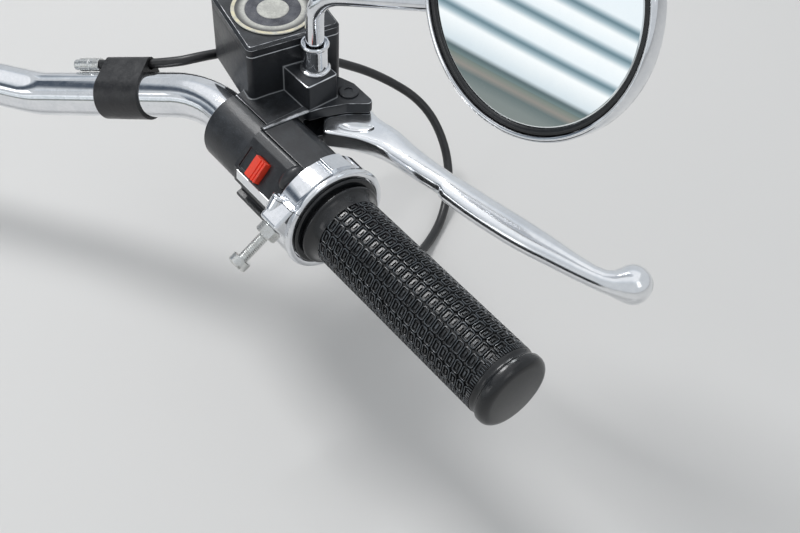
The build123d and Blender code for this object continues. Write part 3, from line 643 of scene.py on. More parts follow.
def ringSleeve(look):
    # Raised rings with a nub in each, built flat and then bent round the grip
    bm = bmesh.new()
    (start, end), pitch, floor = look["texture"], look["pitch"], look["floor"]
    columns = int((end - start) / pitch) + look["shearTurns"] * 2 + 2
    turnLength = 2 * pi * floor
    shear = look["shearTurns"] * pitch / turnLength
    bmesh.ops.create_grid(bm, x_segments=columns, y_segments=look["rows"], size=0.5)
    bmesh.ops.scale(bm, verts=bm.verts, vec=(columns * pitch, turnLength, 1))
    bmesh.ops.translate(bm, verts=bm.verts, vec=((start + end) / 2, turnLength / 2, 0))
    whole = []
    for face in bm.faces:
        middle = face.calc_center_median()
        if start - pitch / 2 < middle.x + (middle.y - turnLength / 2) * shear < end + pitch / 2:
            whole.append(face)
    inset(bm, whole, look["inset"], 0.0)
    corners = [vert for face in whole for vert in face.verts]
    bmesh.ops.bevel(
        bm, geom=corners, offset=look["cornerCut"], offset_type="OFFSET", affect="VERTICES",
        segments=1, profile=0.5, material=-1)
    cells = [face for face in bm.faces if len(face.verts) == 8]
    for wall in look["walls"] + [look["nubFoot"]]:
        inset(bm, cells, *wall)
    for face in cells:
        middle = face.calc_center_median()
        for axis, width in enumerate(look["nub"]):
            reach = max(abs(vert.co[axis] - middle[axis]) for vert in face.verts)
            for vert in face.verts:
                vert.co[axis] = middle[axis] + (vert.co[axis] - middle[axis]) * min(width / 2 / reach, 1.0)
    inset(bm, cells, *look["nubTop"])
    for vert in bm.verts:
        vert.co.x += (vert.co.y - turnLength / 2) * shear
    for side, edge in ((1, start), (-1, end)):
        sliced(bm, (edge, 0, 0), (side, 0, 0), mergeSet["slice"])
    for vert in bm.verts:
        angle, radius = vert.co.y / floor + look["phase"], floor + vert.co.z
        vert.co = (radius * cos(angle), radius * sin(angle), vert.co.x)
    bmesh.ops.remove_doubles(bm, verts=bm.verts, dist=mergeSet["sleeve"])
    bmesh.ops.reverse_faces(bm, faces=bm.faces)
    return bm


def toothed(bm, count, share, later):
    # Draws in two of every four corners of a rod, the later or the earlier pair
    for vert in bm.verts:
        step = round(Vector((vert.co.x, vert.co.y)).angle_signed(Vector((1, 0))) / (pi / count / 2))
        if (step % 4 > 1) == later:
            vert.co.x *= share
            vert.co.y *= share
    return bm


def gripShape(look, bore):
    start, end = look["texture"]
    ribStart, ribEnd = look["ribs"]
    valley, crest = look["ribRadius"]
    floor = look["floor"] - look["skin"]
    profile = [(look["flange"][0][0], bore)] + look["flange"] + look["bead"] + look["cone"]
    profile += [(start + look["lap"], floor), (end, floor), (ribStart - look["ribLead"], valley), (ribEnd, valley)]
    profile += look["shoulder"] + look["cap"]
    profile += [(look["length"], 0), (look["core"], 0), (look["core"], bore), profile[0]]
    bm = joinInto(spinProfile(profile, look["steps"]), ringSleeve(look))
    joinInto(bm, toothed(rod(crest, ribStart, ribEnd, look["ribCount"] * 4), look["ribCount"], valley / crest, True))
    # Marks the ring slopes and crests and the rib crests for the paler rubber: partly wear, partly a painted sheen on
    # the raised parts
    wear, ribReach = layerOf(bm, "wear"), (ribEnd - ribStart) / 2 + look["ribMargin"]
    for vert in bm.verts:
        radius, height = hypot(vert.co.x, vert.co.y), vert.co.z
        if start < height < end:
            for rise, amount in (look["slopeWearAndSheen"], look["crestWear"]):
                if radius > look["floor"] + rise:
                    vert[wear] = amount
        elif abs(height - (ribStart + ribEnd) / 2) < ribReach and radius > crest - look["ribLead"]:
            vert[wear] = 1.0
    return bm


gripAxis = axisFrame(gripOrigin, along, across)
for node, body, bore, place in (
    ("right_grip", "throttle", 13.2, gripAxis), ("left_grip", "handlebar", 11.3, mirrored @ gripAxis),
):
    placePiece(gripShape(gripSet, bore), node, "blackRubber", place, body, sharp=gripSet["sharp"], weighted=False)
print("grips")

# Throttle housing: one turned shell with its ears and boss, cut in two on a slanted plane
housingSet = {
    "split": radians(142.0), "gap": 0.3, "steps": 120, "edge": 0.0002,
    "ear": {"at": -12.2, "reach": 27.4, "radius": 3.3, "run": (-6.5, 1.8), "round": 0.8, "hole": (1.5, 3.5)},
    "pad": {"turns": (radians(63), radians(88)), "run": (-13.6, -4.6), "rise": 1.2, "least": 25},
    "profile": [
        (-15.9, 11.2), (-15.9, 21.0), (-14.6, 21.0), (-14.6, 24.3), (-14.3, 24.9), (-13.7, 25.3), (-4.6, 25.3),
        (-4.0, 25.33), (-3.5, 25.43), (-3.1, 25.58), (-2.7, 25.76), (-2.3, 25.92), (-1.9, 26.0), (-1.2, 26.0),
        (-0.7, 25.8), (-0.2, 25.2), (0.0, 24.6), (0.0, 23.5), (-0.3, 23.15), (-2.6, 23.1), (-2.6, 13.6),
        (-4.2, 13.6), (-4.2, 21.2), (-13.0, 20.0), (-13.0, 11.2), (-15.9, 11.2)],
    "seal": [(-16.35, 11.4), (-16.35, 22.2), (-16.0, 22.8), (-15.2, 22.8), (-14.8, 22.4), (-14.8, 21.1),
             (-15.95, 21.1), (-15.95, 11.4), (-16.35, 11.4)],
    "friction": (-8.0, -20.0, 11.5), "drop": radians(30.0), "boss": (6.0, 6.0, -3.0, 9.5), "bossRound": 1.6,
}
splitAcross = across * cos(housingSet["split"]) + upward * sin(housingSet["split"])
splitNormal = across * sin(housingSet["split"]) - upward * cos(housingSet["split"])
frictionDir = across * -cos(housingSet["drop"]) - upward * sin(housingSet["drop"])
frictionAxis = axisFrame(spot(*housingSet["friction"]), frictionDir)


def housingShell(look):
    bm = moved(spinProfile(look["profile"], look["steps"]), sectionFrame)
    pad, ear = look["pad"], look["ear"]
    chosen = []
    for face in bm.faces:
        s, w, h = toGrip @ face.calc_center_median()
        inRun = pad["run"][0] < s < pad["run"][1]
        if inRun and pad["turns"][0] < atan2(h, w) < pad["turns"][1] and hypot(w, h) > pad["least"]:
            chosen.append(face)
    pulled = bmesh.ops.extrude_face_region(bm, geom=chosen)["geom"]
    bmesh.ops.delete(bm, geom=chosen, context="FACES_ONLY")
    for vert in only(bmesh.types.BMVert, pulled):
        s, w, h = toGrip @ vert.co
        grow = 1 + pad["rise"] / hypot(w, h)
        vert.co = spot(s, w * grow, h * grow)
    roundEdges(bm, look["edge"], 50)
    low, high = ear["run"]
    hole, depth = ear["hole"]
    for side in (1, -1):
        lug = rod(ear["radius"], low, high, 48)
        roundEdges(lug, ear["round"], 50, 3)
        carve(lug, rod(hole, high - depth, high + 1, 32))
        foot = spot(ear["at"], 0, 0) + splitAcross * (side * ear["reach"] * millimetre)
        joinInto(bm, moved(lug, axisFrame(foot, splitNormal)))
    boss = block(*look["boss"])
    roundEdges(boss, look["bossRound"], 50, 4)
    return joinInto(bm, moved(boss, frictionAxis))


# A black rubber ring fills the gap between the switch housing and the chrome shell and darkens it; it stands in partly
# for the shade in that gap
placePiece(spinProfile(housingSet["seal"], 96), "throttle_housing_seal", "blackRubber", sectionFrame, replaces=False)
for node, sign in (("throttle_housing_upper", 1), ("throttle_housing_lower", -1)):
    half = housingShell(housingSet)
    cutPoint = spot(0, 0, 0) + splitNormal * (sign * housingSet["gap"] / 2 * millimetre)
    cut = sliced(half, cutPoint, splitNormal * sign, mergeSet["split"])
    bmesh.ops.holes_fill(half, edges=only(bmesh.types.BMEdge, cut))
    placePiece(half, node, "chromePlate")

screwSet = {
    "thread": (2.5, 0.0, 28.0, 0.9, 0.28), "slot": (6, 0.65, 3.0, 5.5), "slotTurn": radians(35),
    "head": [(0, 0), (0, 4.3), (0.3, 4.6), (3.6, 4.6), (4.2, 4.15), (4.5, 3.3), (4.5, 0)],
    "nut": (9.0, 5.0, 2.6), "nutAt": 9.6,
}
threadSet = {"shape": ((0.35, 0), (0.6, 0), (0.95, 1)), "steps": 24}
hexSet = {"foot": 0.96, "crest": 1.155, "steps": 48}


def threadedRod(radius, start, end, pitch, depth):
    # The thread's shape holds shares of the pitch with the share of the depth there
    profile = [(start, 0.0), (start, radius - depth)]
    for index in range(int((end - start) / pitch)):
        base = start + index * pitch
        profile += [(base + pitch * share, radius - depth * fall) for share, fall in threadSet["shape"]]
    return spinProfile(profile + [(end, radius - depth), (end, 0.0)], threadSet["steps"])


def hexNut(width, height, bore, chamfer=0.55):
    foot, crest = width / 2 * hexSet["foot"], width / 2 * hexSet["crest"]
    nut = spinProfile([(0, bore), (0, foot), (chamfer, crest), (height - chamfer, crest), (height, foot),
                       (height, bore), (0, bore)], hexSet["steps"])
    return carve(nut, rod(width / 2 / cos(pi / 6), -1, height + 1, 6), "INTERSECT")


screw = threadedRod(*screwSet["thread"])
head = spinProfile(screwSet["head"], 40)
carve(head, moved(block(*screwSet["slot"]), Matrix.Rotation(screwSet["slotTurn"], 4, "Z")))
joinInto(screw, moved(head, raised(screwSet["thread"][2])))
placePiece(screw, "friction_screw", "zincSteel", frictionAxis, sharp=35)
placePiece(hexNut(*screwSet["nut"]), "friction_nut", "zincSteel", frictionAxis @ raised(screwSet["nutAt"]), sharp=30)
print("throttle housing")

# Switch housings, in w and h round the bar and in s along it
switchSet = {
    "inner": -49.6, "rightOuter": -16.4, "leftOuter": -2.4, "bore": 11.25, "boreEdge": 11.75, "round": 0.55,
    "seam": (-4.1, 0.16), "pocketTop": 4, "rightPockets": [(-39.6, 0.59, 15.4, 10.8, 1.1)],
    "leftPockets": [(-30.0, 0.5, 20.0, 8.8, 1.1), (-12.0, 0.5, 9.0, 10.8, 0.7)],
    "front": [(-4.1, 20.0), (10.4, 20.0), (13.2, 18.6), (17.0, 14.0), (17.0, -12.0), (11.0, -20.0), (-4.1, -20.0)],
    "rear": [(-4.1, 20.0), (-5.6, 20.0), (-9.2, 18.4), (-20.2, 7.3), (-20.9, -1.4), (-17.6, -3.0), (-17.6, -9.2),
             (-20.3, -9.8), (-20.3, -11.4), (-14.0, -20.0), (-4.1, -20.0)],
    # A polished piece on the housing's lower face that stands in for a bright reflection there: a painted reflection
    "strip": ([(-20.45, 6.6), (-21.0, 1.2), (-20.2, 1.0), (-19.5, 6.5)], -47.2, -20.6),
    "stripRound": 0.2, "facet": (Vector((-9.2, 18.4)), Vector((-20.2, 7.3))),
    "bump": {"at": (-18.5, 0.09), "turn": radians(-12), "size": (4.0, 7.2, 4.6, 1)},
    "screw": [(-1.5, 0), (-1.5, 1.7), (0.9, 1.7), (1.3, 1.2), (1.4, 0)], "slot": (3, 0.3, 0.7, 3),
    "screwAt": (-24.0, -17.8, -6.2),
}
facetStart, facetEnd = switchSet["facet"]
facetLine = (facetEnd - facetStart).normalized()
facetUp = across * facetLine.y - upward * facetLine.x


def facetFrame(s, share=0.5):
    # x along the grip, y down the facet and z out of it
    middle = facetStart.lerp(facetEnd, share)
    return frameFrom(spot(s, *middle), along, facetUp.cross(along), facetUp)


def facetPocket(s, share, length, width, depth):
    # A shallow pocket in the facet, for a slider to lie in
    return moved(block(length / 2, width / 2, -depth, switchSet["pocketTop"]), toSection @ facetFrame(s, share))


def switchHalf(look, part, outer, pockets):
    bm = prism(look[part], look["inner"], outer)
    side = 1 if part == "front" else -1
    seam, gap = look["seam"]
    sliced(bm, (seam + side * gap, 0, 0), (side, 0, 0), mergeSet["slice"])
    bmesh.ops.holes_fill(bm, edges=[edge for edge in bm.edges if edge.is_boundary])
    carve(bm, rod(look["bore"], look["inner"] - 2, outer + 2, 64))
    for pocket in pockets:
        carve(bm, facetPocket(*pocket))
    bm.normal_update()
    outside = [edge for edge in sharpEdges(bm, 18)
               if all(hypot(vert.co.x, vert.co.y) > look["boreEdge"] for vert in edge.verts)]
    roundEdges(bm, look["round"], edges=outside)
    return bm


sliderSet = {
    "foot": -1.2, "ramp": ((0.0, 0.62), (0.5, 0.8)), "rampShare": 0.36, "ribs": 3, "tip": (0.3, 0.4), "round": 0.22,
    "groove": ((-0.05, 0), (0.22, 0.75), (0.55, 0.75), (0.8, 0)),
}


def ribbedSlider(look, length, width, height):
    # A ramp at the inner end, and ribs with grooves between them
    half = length / 2
    start = -half + length * look["rampShare"]
    pitch = (half - start) / look["ribs"]
    outline = [(-half, look["foot"])] + [(-half + step, height * share) for step, share in look["ramp"]]
    outline.append((start, height))
    for index in range(1, look["ribs"]):
        outline += [(start + index * pitch + step, height - drop) for step, drop in look["groove"]]
    back, drop = look["tip"]
    outline += [(half - back, height), (half, height - drop), (half, look["foot"])]
    bm = moved(prism(outline, -width / 2, width / 2), Matrix.Rotation(radians(90), 4, "X"))
    roundEdges(bm, look["round"], 35)
    return bm


for side, part in (("right", "front"), ("right", "rear"), ("left", "front"), ("left", "rear")):
    pockets = switchSet[side + "Pockets"] if part == "rear" else ()
    shell = switchHalf(switchSet, part, switchSet[side + "Outer"], pockets)
    if (side, part) == ("right", "rear"):
        bump = switchSet["bump"]
        turn = Matrix.Rotation(bump["turn"], 4, "Z") @ Matrix.Diagonal(bump["size"])
        joinInto(shell, ball(toSection @ facetFrame(*bump["at"]) @ turn, 28, 18))
    placePiece(shell, side + "_switch_" + part, "blackPlastic",
               sectionFrame if side == "right" else mirrored @ sectionFrame, slotName="black_alloy", sharp=30)
# The polished strip is a painted reflection made of geometry, where the housing's lower face shows a bright reflection
strip = prism(*switchSet["strip"])
roundEdges(strip, switchSet["stripRound"], 40)
placePiece(strip, "right_switch_strip", "polishedAlloy", sectionFrame, replaces=False)
sliders = {
    "kill_slider": ("redPlastic", (8.4, 10.2, 3.2), facetFrame(-36.3, 0.59)),
    "turn_slider": ("blackPlastic", (13.0, 8.0, 4.2), mirrored @ facetFrame(-30.0)),
    "horn_button": ("yellowPlastic", (8.0, 9.6, 2.8), mirrored @ facetFrame(-12.0)),
}
for node, (material, size, place) in sliders.items():
    placePiece(ribbedSlider(sliderSet, *size), node, material, place, sharp=30)
railScrew = carve(spinProfile(switchSet["screw"], 28), block(*switchSet["slot"]))
placePiece(railScrew, "right_switch_screw", "zincSteel", axisFrame(spot(*switchSet["screwAt"]), -across), sharp=30,
           replaces=False)
print("switches")

# Perches: the CAD castings with rounded, worn edges and dusty inner corners
castingEdges = {
    "master_cylinder": 0.0008, "master_cylinder_clamp": 0.0006, "left_perch": 0.0008, "left_perch_clamp": 0.0006,
}
# The slant moves what lies beyond an s, from a w on, and the crest holds the least s and h and its wear
rimSet = {
    "outline": [(-51.8, 18.9), (-50.0, 18.9), (-50.0, 20.1), (-47.3, 20.1), (-47.3, 20.55), (-47.7, 20.9),
                (-50.4, 20.9), (-51.8, 19.4)],
    "run": (-3.9, 19.6), "slant": 0.10, "slantFrom": (-49, 8), "round": 0.0003, "crest": (-47.95, 20.2, 0.95),
}
# Where edges wear more or less: lowest s, w from and to, lowest h, and how much
wearZones = [(-72, -200, 200, 32, 1.7), (-50.6, -4, 22, 15, 1.8), (-72, -200, 1, -200, 0.3)]


def saddleRim(look):
    # Raised rim of the saddle, drawn in s and h, pulled along w and slanted
    rim = prism(look["outline"], *look["run"])
    for vert in rim.verts:
        s, h, w = vert.co
        vert.co = (s + (w - look["slantFrom"][1]) * look["slant"] if s > look["slantFrom"][0] else s, w, h)
    bmesh.ops.recalc_face_normals(rim, faces=rim.faces)
    moved(rim, gripFrame)
    roundEdges(rim, look["round"], 30)
    return rim


for node, width in castingEdges.items():
    bm = nodeCopy(node, mergeSet["nodeAngle"])
    bmesh.ops.dissolve_degenerate(bm, dist=mergeSet["degenerate"], edges=bm.edges)
    roundEdges(bm, width, 24, clamp=False)
    if node == "master_cylinder":
        joinInto(bm, saddleRim(rimSet))
    wear = layerOf(bm, "wear")
    toLocal = toGrip if node.startswith("master") else (mirrored @ gripFrame).inverted()
    crestS, crestH, crestWear = rimSet["crest"]
    for vert in bm.verts:
        s, w, h = toLocal @ vert.co
        for lowS, lowW, highW, lowH, factor in wearZones:
            if s > lowS and lowW < w < highW and h > lowH:
                vert[wear] *= factor
                break
        onCrest = h > crestH and s - (w - rimSet["slantFrom"][1]) * rimSet["slant"] > crestS
        if onCrest and node == "master_cylinder":
            vert[wear] = crestWear
    placePiece(bm, node, "blackAlloy")
lidSet = {"edgesAbove": 45, "round": 0.0004}
lid = nodeCopy("reservoir_lid", mergeSet["nodeAngle"])
lidEdges = [edge for edge in sharpEdges(lid, 24) if (toGrip @ edge.verts[0].co).z > lidSet["edgesAbove"]]
roundEdges(lid, lidSet["round"], edges=lidEdges)
placePiece(lid, "reservoir_lid", "blackAlloy")

labelSet = {
    "place": (-87.6, 29.6, 48.1), "steps": 96, "rim": (17.6, 0.7), "groove": (17.3, 17.5),
    "profile": [(0, 0), (0, 19.1), (0.5, 19.4), (0.8, 19.2), (0.85, 18.4), (0.8, 17.7), (0.45, 17.4), (0.4, 13.2),
                (0.15, 13.0), (0.15, 7.4), (0.4, 7.2), (0.45, 0)],
    "band": [(0.1, 7.45), (0.24, 7.45), (0.24, 12.95), (0.1, 12.95), (0.1, 7.45)],
}
labelAxis = axisFrame(spot(*labelSet["place"]), upward)
label = spinProfile(labelSet["profile"], labelSet["steps"])
wear, crease = layerOf(label, "wear"), layerOf(label, "crease")
# Marks the rim as worn, and the groove at its foot for the crease colour's painted shade
for vert in label.verts:
    radius = hypot(vert.co.x, vert.co.y)
    vert[wear] = float(radius > labelSet["rim"][0] and vert.co.z > labelSet["rim"][1])
    vert[crease] = float(labelSet["groove"][0] < radius < labelSet["groove"][1])
placePiece(label, "reservoir_label", "labelPlate", labelAxis)
placePiece(spinProfile(labelSet["band"], labelSet["steps"]), "reservoir_label_band", "labelField", labelAxis,
           replaces=False)

mouthSet = {
    "place": (-60.0, 24.0, 8.0),
    "boot": [(0.0, 0), (0.0, 4.6), (0.5, 4.8), (1.0, 4.8), (1.5, 4.0), (2.0, 4.0), (2.5, 4.8), (3.0, 4.8), (3.5, 4.0),
             (4.0, 4.0), (4.5, 4.6), (5.2, 4.4), (5.5, 3.4), (5.5, 0)],
    "mouth": [(-1.0, 6.2), (-1.0, 9.4), (1.6, 9.4), (2.2, 9.1), (2.4, 8.5), (2.2, 7.9), (1.2, 7.3), (0.2, 6.2),
              (-1.0, 6.2)],
}
bootAxis = axisFrame(spot(*mouthSet["place"]), along, across)
placePiece(spinProfile(mouthSet["boot"], 40), "piston_boot", "blackRubber", bootAxis)
placePiece(spinProfile(mouthSet["mouth"], 64), "cylinder_mouth", "blackAlloy", bootAxis, replaces=False)
print("perches")

# Levers, as sections with their place out from the pivot, ahead and above it, half width, half thickness,
# squareness and turn in degrees
leverSet = {
    "pivot": (-47.5, 43.0, 8.0), "pin": (4.1, -7, 7), "steps": 40,
    "sections": [
        (-9.3, -2.4, 0.0, 1.6, 3.2, 3.0, 0), (-8.4, -2.0, 0.0, 4.3, 4.6, 4.5, 0), (-6.0, -1.3, 0.0, 6.4, 5.0, 6.0, 0),
        (-2.0, -3.0, 0.0, 9.5, 5.0, 7.0, 0), (3.0, -4.8, 0.0, 12.3, 5.0, 7.0, 0), (6.4, -6.4, 0.0, 13.5, 5.0, 7.0, 0),
        (8.6, -7.3, 0.0, 13.9, 5.0, 7.0, 0), (10.6, -7.1, 0.0, 13.3, 5.0, 7.0, 0),
        (13.0, -6.3, 0.0, 12.0, 5.0, 7.0, 0), (17.0, -4.6, 0.0, 10.3, 5.0, 6.5, 0),
        (21.0, -2.7, 0.0, 9.1, 5.0, 6.0, 0), (25.0, -1.1, 0.0, 8.4, 5.0, 5.0, 0), (29.0, 0.4, -0.1, 7.8, 5.0, 4.0, 0),
        (33.5, 1.4, -0.3, 7.3, 5.0, 3.1, 0), (39.5, 2.1, -0.5, 6.9, 5.0, 2.5, 0), (47.0, 3.2, -0.8, 6.6, 5.0, 2.25, 0),
        (54.5, 4.4, -1.1, 6.4, 5.0, 2.15, 0), (61.0, 5.6, -1.35, 6.1, 4.9, 2.1, 0),
        (65.2, 6.3, -1.5, 6.0, 4.9, 2.1, 0), (66.4, 6.2, -1.55, 6.7, 5.1, 2.1, 0),
        (69.5, 6.5, -1.65, 7.2, 5.1, 2.1, 0), (76.0, 7.6, -1.95, 7.5, 5.1, 2.1, 0),
        (82.5, 8.7, -2.2, 7.7, 5.1, 2.1, 0), (89.5, 10.1, -2.45, 7.9, 5.1, 2.1, 0),
        (96.5, 11.5, -2.7, 7.9, 5.1, 2.1, 0), (103.0, 12.9, -2.95, 7.9, 5.1, 2.1, 0),
        (109.5, 14.4, -3.2, 7.7, 5.0, 2.1, 0), (116.0, 16.0, -3.45, 7.3, 5.0, 2.1, 0),
        (122.5, 17.7, -3.7, 6.6, 4.9, 2.05, 2), (129.0, 19.3, -3.95, 5.9, 4.8, 2.0, 6),
        (135.5, 21.0, -4.2, 5.3, 4.7, 2.0, 12), (141.0, 22.7, -4.4, 4.9, 4.6, 2.0, 18),
        (146.0, 24.9, -4.7, 5.0, 4.8, 2.0, 28), (149.2, 27.3, -4.9, 5.9, 5.5, 2.0, 40),
        (151.3, 29.5, -5.0, 7.2, 6.9, 2.0, 47), (153.0, 31.5, -5.0, 8.4, 8.2, 2.0, 50),
        (154.7, 33.5, -5.0, 8.85, 8.85, 2.0, 50), (156.6, 35.8, -5.0, 8.35, 8.35, 2.0, 50),
        (158.2, 37.7, -5.0, 6.95, 6.95, 2.0, 50), (159.4, 39.1, -5.0, 5.0, 5.0, 2.0, 50),
        (160.1, 40.0, -5.0, 2.7, 2.7, 2.0, 50),
    ],
    "hollow": {"middle": (16.0, -7.6, 7.1), "turn": radians(50), "size": (9.5, 3.9, 4.4, 1)},
}


def leverRing(section, turn):
    out, ahead, rise, halfWidth, halfThickness, squareness, swing = section
    power, swung = 2 / squareness, radians(swing)
    wide = copysign(abs(cos(turn)) ** power, cos(turn)) * halfWidth
    high = copysign(abs(sin(turn)) ** power, sin(turn)) * halfThickness
    return Vector((out - wide * sin(swung), ahead + wide * cos(swung), rise + high))


lever = loftRings(leverSet["sections"], leverSet["steps"], leverRing)
hollow = leverSet["hollow"]
turn = Matrix.Rotation(hollow["turn"], 4, "Z") @ Matrix.Diagonal(hollow["size"])
carve(lever, ball(Matrix.Translation(hollow["middle"]) @ turn, 40, 24))
carve(lever, rod(*leverSet["pin"], 40))
levers = ("brake_lever", "clutch_lever")
placeBoth(lever, gripFrame @ Matrix.Translation(leverSet["pivot"]), levers, levers, material="polishedAlloy", sharp=55)

boltSet = {
    "pin": 3.95, "ears": (-3.3, 19.3), "gap": 0.1, "nut": (12.0, 5.0, 3.0, 0.8), "socket": (2.2, 0.5, 3, 6),
    "head": [(0, 0), (0, 4.8), (0.5, 4.8), (0.8, 4.5), (0.95, 3.9), (0.95, 0)],
}
earLow, earHigh = boltSet["ears"]
nutHeight = boltSet["nut"][1]
bolt = rod(boltSet["pin"], earLow - nutHeight, earHigh + 2 * boltSet["gap"], 40)
boltHead = carve(spinProfile(boltSet["head"], 48), rod(*boltSet["socket"]))
joinInto(bolt, moved(boltHead, raised(earHigh + boltSet["gap"])))
joinInto(bolt, moved(hexNut(*boltSet["nut"]), raised(earLow - boltSet["gap"] - nutHeight)))
placeBoth(bolt, gripFrame @ Matrix.Translation((*leverSet["pivot"][:2], 0)), [node + "_bolt" for node in levers],
          material="blackAlloy", slotName="zinc_steel", sharp=30)

adjusterSet = {
    "place": (-78.0, 24.0, 8.0), "thread": (3.9, -21.99, 18.0, 1.0, 0.3), "seat": (2.8, -23.0, -14.0, 32),
    "wheel": (9.0, -5.1, -0.1), "notches": 20, "notchShare": 0.91, "round": 0.25,
}
adjuster = carve(threadedRod(*adjusterSet["thread"]), rod(*adjusterSet["seat"]))
notches = adjusterSet["notches"]
wheel = toothed(rod(*adjusterSet["wheel"], notches * 4), notches, adjusterSet["notchShare"], False)
roundEdges(wheel, adjusterSet["round"], 60)
placePiece(joinInto(adjuster, wheel), "cable_adjuster", "zincSteel",
           mirrored @ axisFrame(spot(*adjusterSet["place"]), along, across), sharp=35)
print("levers")

# Throttle cable's elbow and ferrule
endSet = {
    "elbow": [(-2.0, 0), (-2.0, 3.3), (0.0, 3.3), (2.6, 3.3), (2.9, 3.6), (9.6, 3.6), (10.4, 3.5), (11.0, 3.1),
              (11.0, 0)],
    "nut": (6.8, 3.0, 3.0, 0.3), "nutAt": 0.6,
    "ferrule": [(0, 0), (0, 3.1), (0.3, 3.4), (5.0, 3.4), (5.5, 3.0), (6.2, 3.0), (6.7, 3.4), (12.4, 3.4),
                (13.0, 2.7), (15.6, 2.7), (16.0, 2.3), (16.0, 0)],
}
elbow = joinInto(spinProfile(endSet["elbow"], 40), moved(hexNut(*endSet["nut"]), raised(endSet["nutAt"])))
placePiece(elbow, "cable_elbow", "chromePlate", axisFrame(elbowFoot, elbowDir), sharp=30)
placePiece(spinProfile(endSet["ferrule"], 40), "cable_ferrule", "zincSteel",
           axisFrame(strapFar, strapFar - strapNear), sharp=30)

# Mirrors
mirrorSet = {
    "centre": (37.4, 66.8, 112.0), "yaw": radians(4.0), "tip": radians(18.0), "steps": 128,
    "rim": [(-6.0, 52.45), (-6.0, 54.2), (-4.5, 55.0), (1.4, 55.0), (2.4, 54.7), (3.0, 53.9), (3.0, 53.2),
            (2.6, 52.6), (1.6, 52.45), (-6.0, 52.45)],
    "gasket": [(-2.0, 49.55), (-2.0, 52.35), (1.2, 52.35), (1.9, 51.9), (2.0, 51.2), (1.8, 50.2), (1.2, 49.55),
               (-2.0, 49.55)],
    "glass": [(-2.0, 0.0), (-2.0, 49.4), (0.6, 49.4), (1.0, 48.6), (1.0, 0.0)],
    "collarAt": (-57.0, 31.0, 33.1),
    "collar": [(0, 4.5), (0, 7.0), (0.8, 7.0), (1.2, 6.6), (1.3, 5.9), (1.8, 5.7), (12.6, 5.7), (13.2, 6.1),
               (13.7, 6.6), (14.5, 6.6), (15.0, 6.2), (15.0, 5.6), (14.6, 5.3), (12.0, 5.2), (12.0, 4.4), (0, 4.4)],
}
yaw, tip = mirrorSet["yaw"], mirrorSet["tip"]
mirrorNormal = along * (cos(tip) * sin(yaw)) - across * (cos(tip) * cos(yaw)) + upward * sin(tip)
mirrorSide = upward.cross(mirrorNormal).normalized()
mirrorFrame = frameFrom(spot(*mirrorSet["centre"]), mirrorSide, mirrorNormal.cross(mirrorSide), mirrorNormal)
for part, material in (("rim", "chromePlate"), ("gasket", "blackRubber"), ("glass", "mirrorGlass")):
    nodes = ("right_mirror_" + part, "left_mirror_" + part)
    placeBoth(spinProfile(mirrorSet[part], mirrorSet["steps"]), mirrorFrame, nodes,
              ("right_mirror_head", "left_mirror_head"), material=material, weighted=part == "glass")
placeBoth(spinProfile(mirrorSet["collar"], 56), axisFrame(spot(*mirrorSet["collarAt"]), upward),
          ("right_mirror_collar", "left_mirror_collar"), material="chromePlate", sharp=50)
print("mirrors")

# CAD nodes in chrome, with smooth shading
for node, body, sharp in (
    ("right_mirror_shell", "right_mirror_head", 30), ("left_mirror_shell", "left_mirror_head", 30),
    ("handlebar", "handlebar", 35), ("right_mirror_stem", "right_mirror_stem", 35),
    ("left_mirror_stem", "left_mirror_stem", 35),
):
    name = "handlebarTube" if node == "handlebar" else None
    placePiece(nodeCopy(node), node, "chromePlate", body=body, name=name, sharp=sharp, weighted=False)

# CAD nodes that keep their shape
for name, finish in (("throttle_tube", "blackPlastic"), ("bar_wrap_right", "tape"), ("bar_wrap_left", "tape")):
    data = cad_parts[name].data
    data.materials.clear()
    data.materials.append(materials[finish])

# Floor, world, lamps and the cards that only reflections show
stageSet = {
    "floorSize": 60.0, "floorColour": (0.70, 0.695, 0.685, 1), "floorRoughness": 0.9,
    "lighting": {"Color": (0.94, 0.97, 1.0, 1), "Strength": 0.58},
    "backdrop": {"Color": (0.92, 0.96, 1.0, 1), "Strength": 0.68},
}


def stagePiece(bm, name, material):
    data = bpy.data.meshes.new(name)
    bm.to_mesh(data)
    piece = bpy.data.objects.new(name, data)
    scene.collection.objects.link(piece)
    data.materials.append(material)
    return piece


def grid(size):
    bm = bmesh.new()
    bmesh.ops.create_grid(bm, x_segments=1, y_segments=1, size=size)
    return bm


def plainMaterial(name, **inputs):
    material = bpy.data.materials.new(name)
    material.use_nodes = True
    for label, value in inputs.items():
        material.node_tree.nodes["Principled BSDF"].inputs[label].default_value = value
    return material


floorInputs = {"Base Color": stageSet["floorColour"], "Roughness": stageSet["floorRoughness"]}
stagePiece(moved(grid(stageSet["floorSize"] / 2), raised(cadBox[0][2])), "floor",
           plainMaterial("paleFloor", **floorInputs))

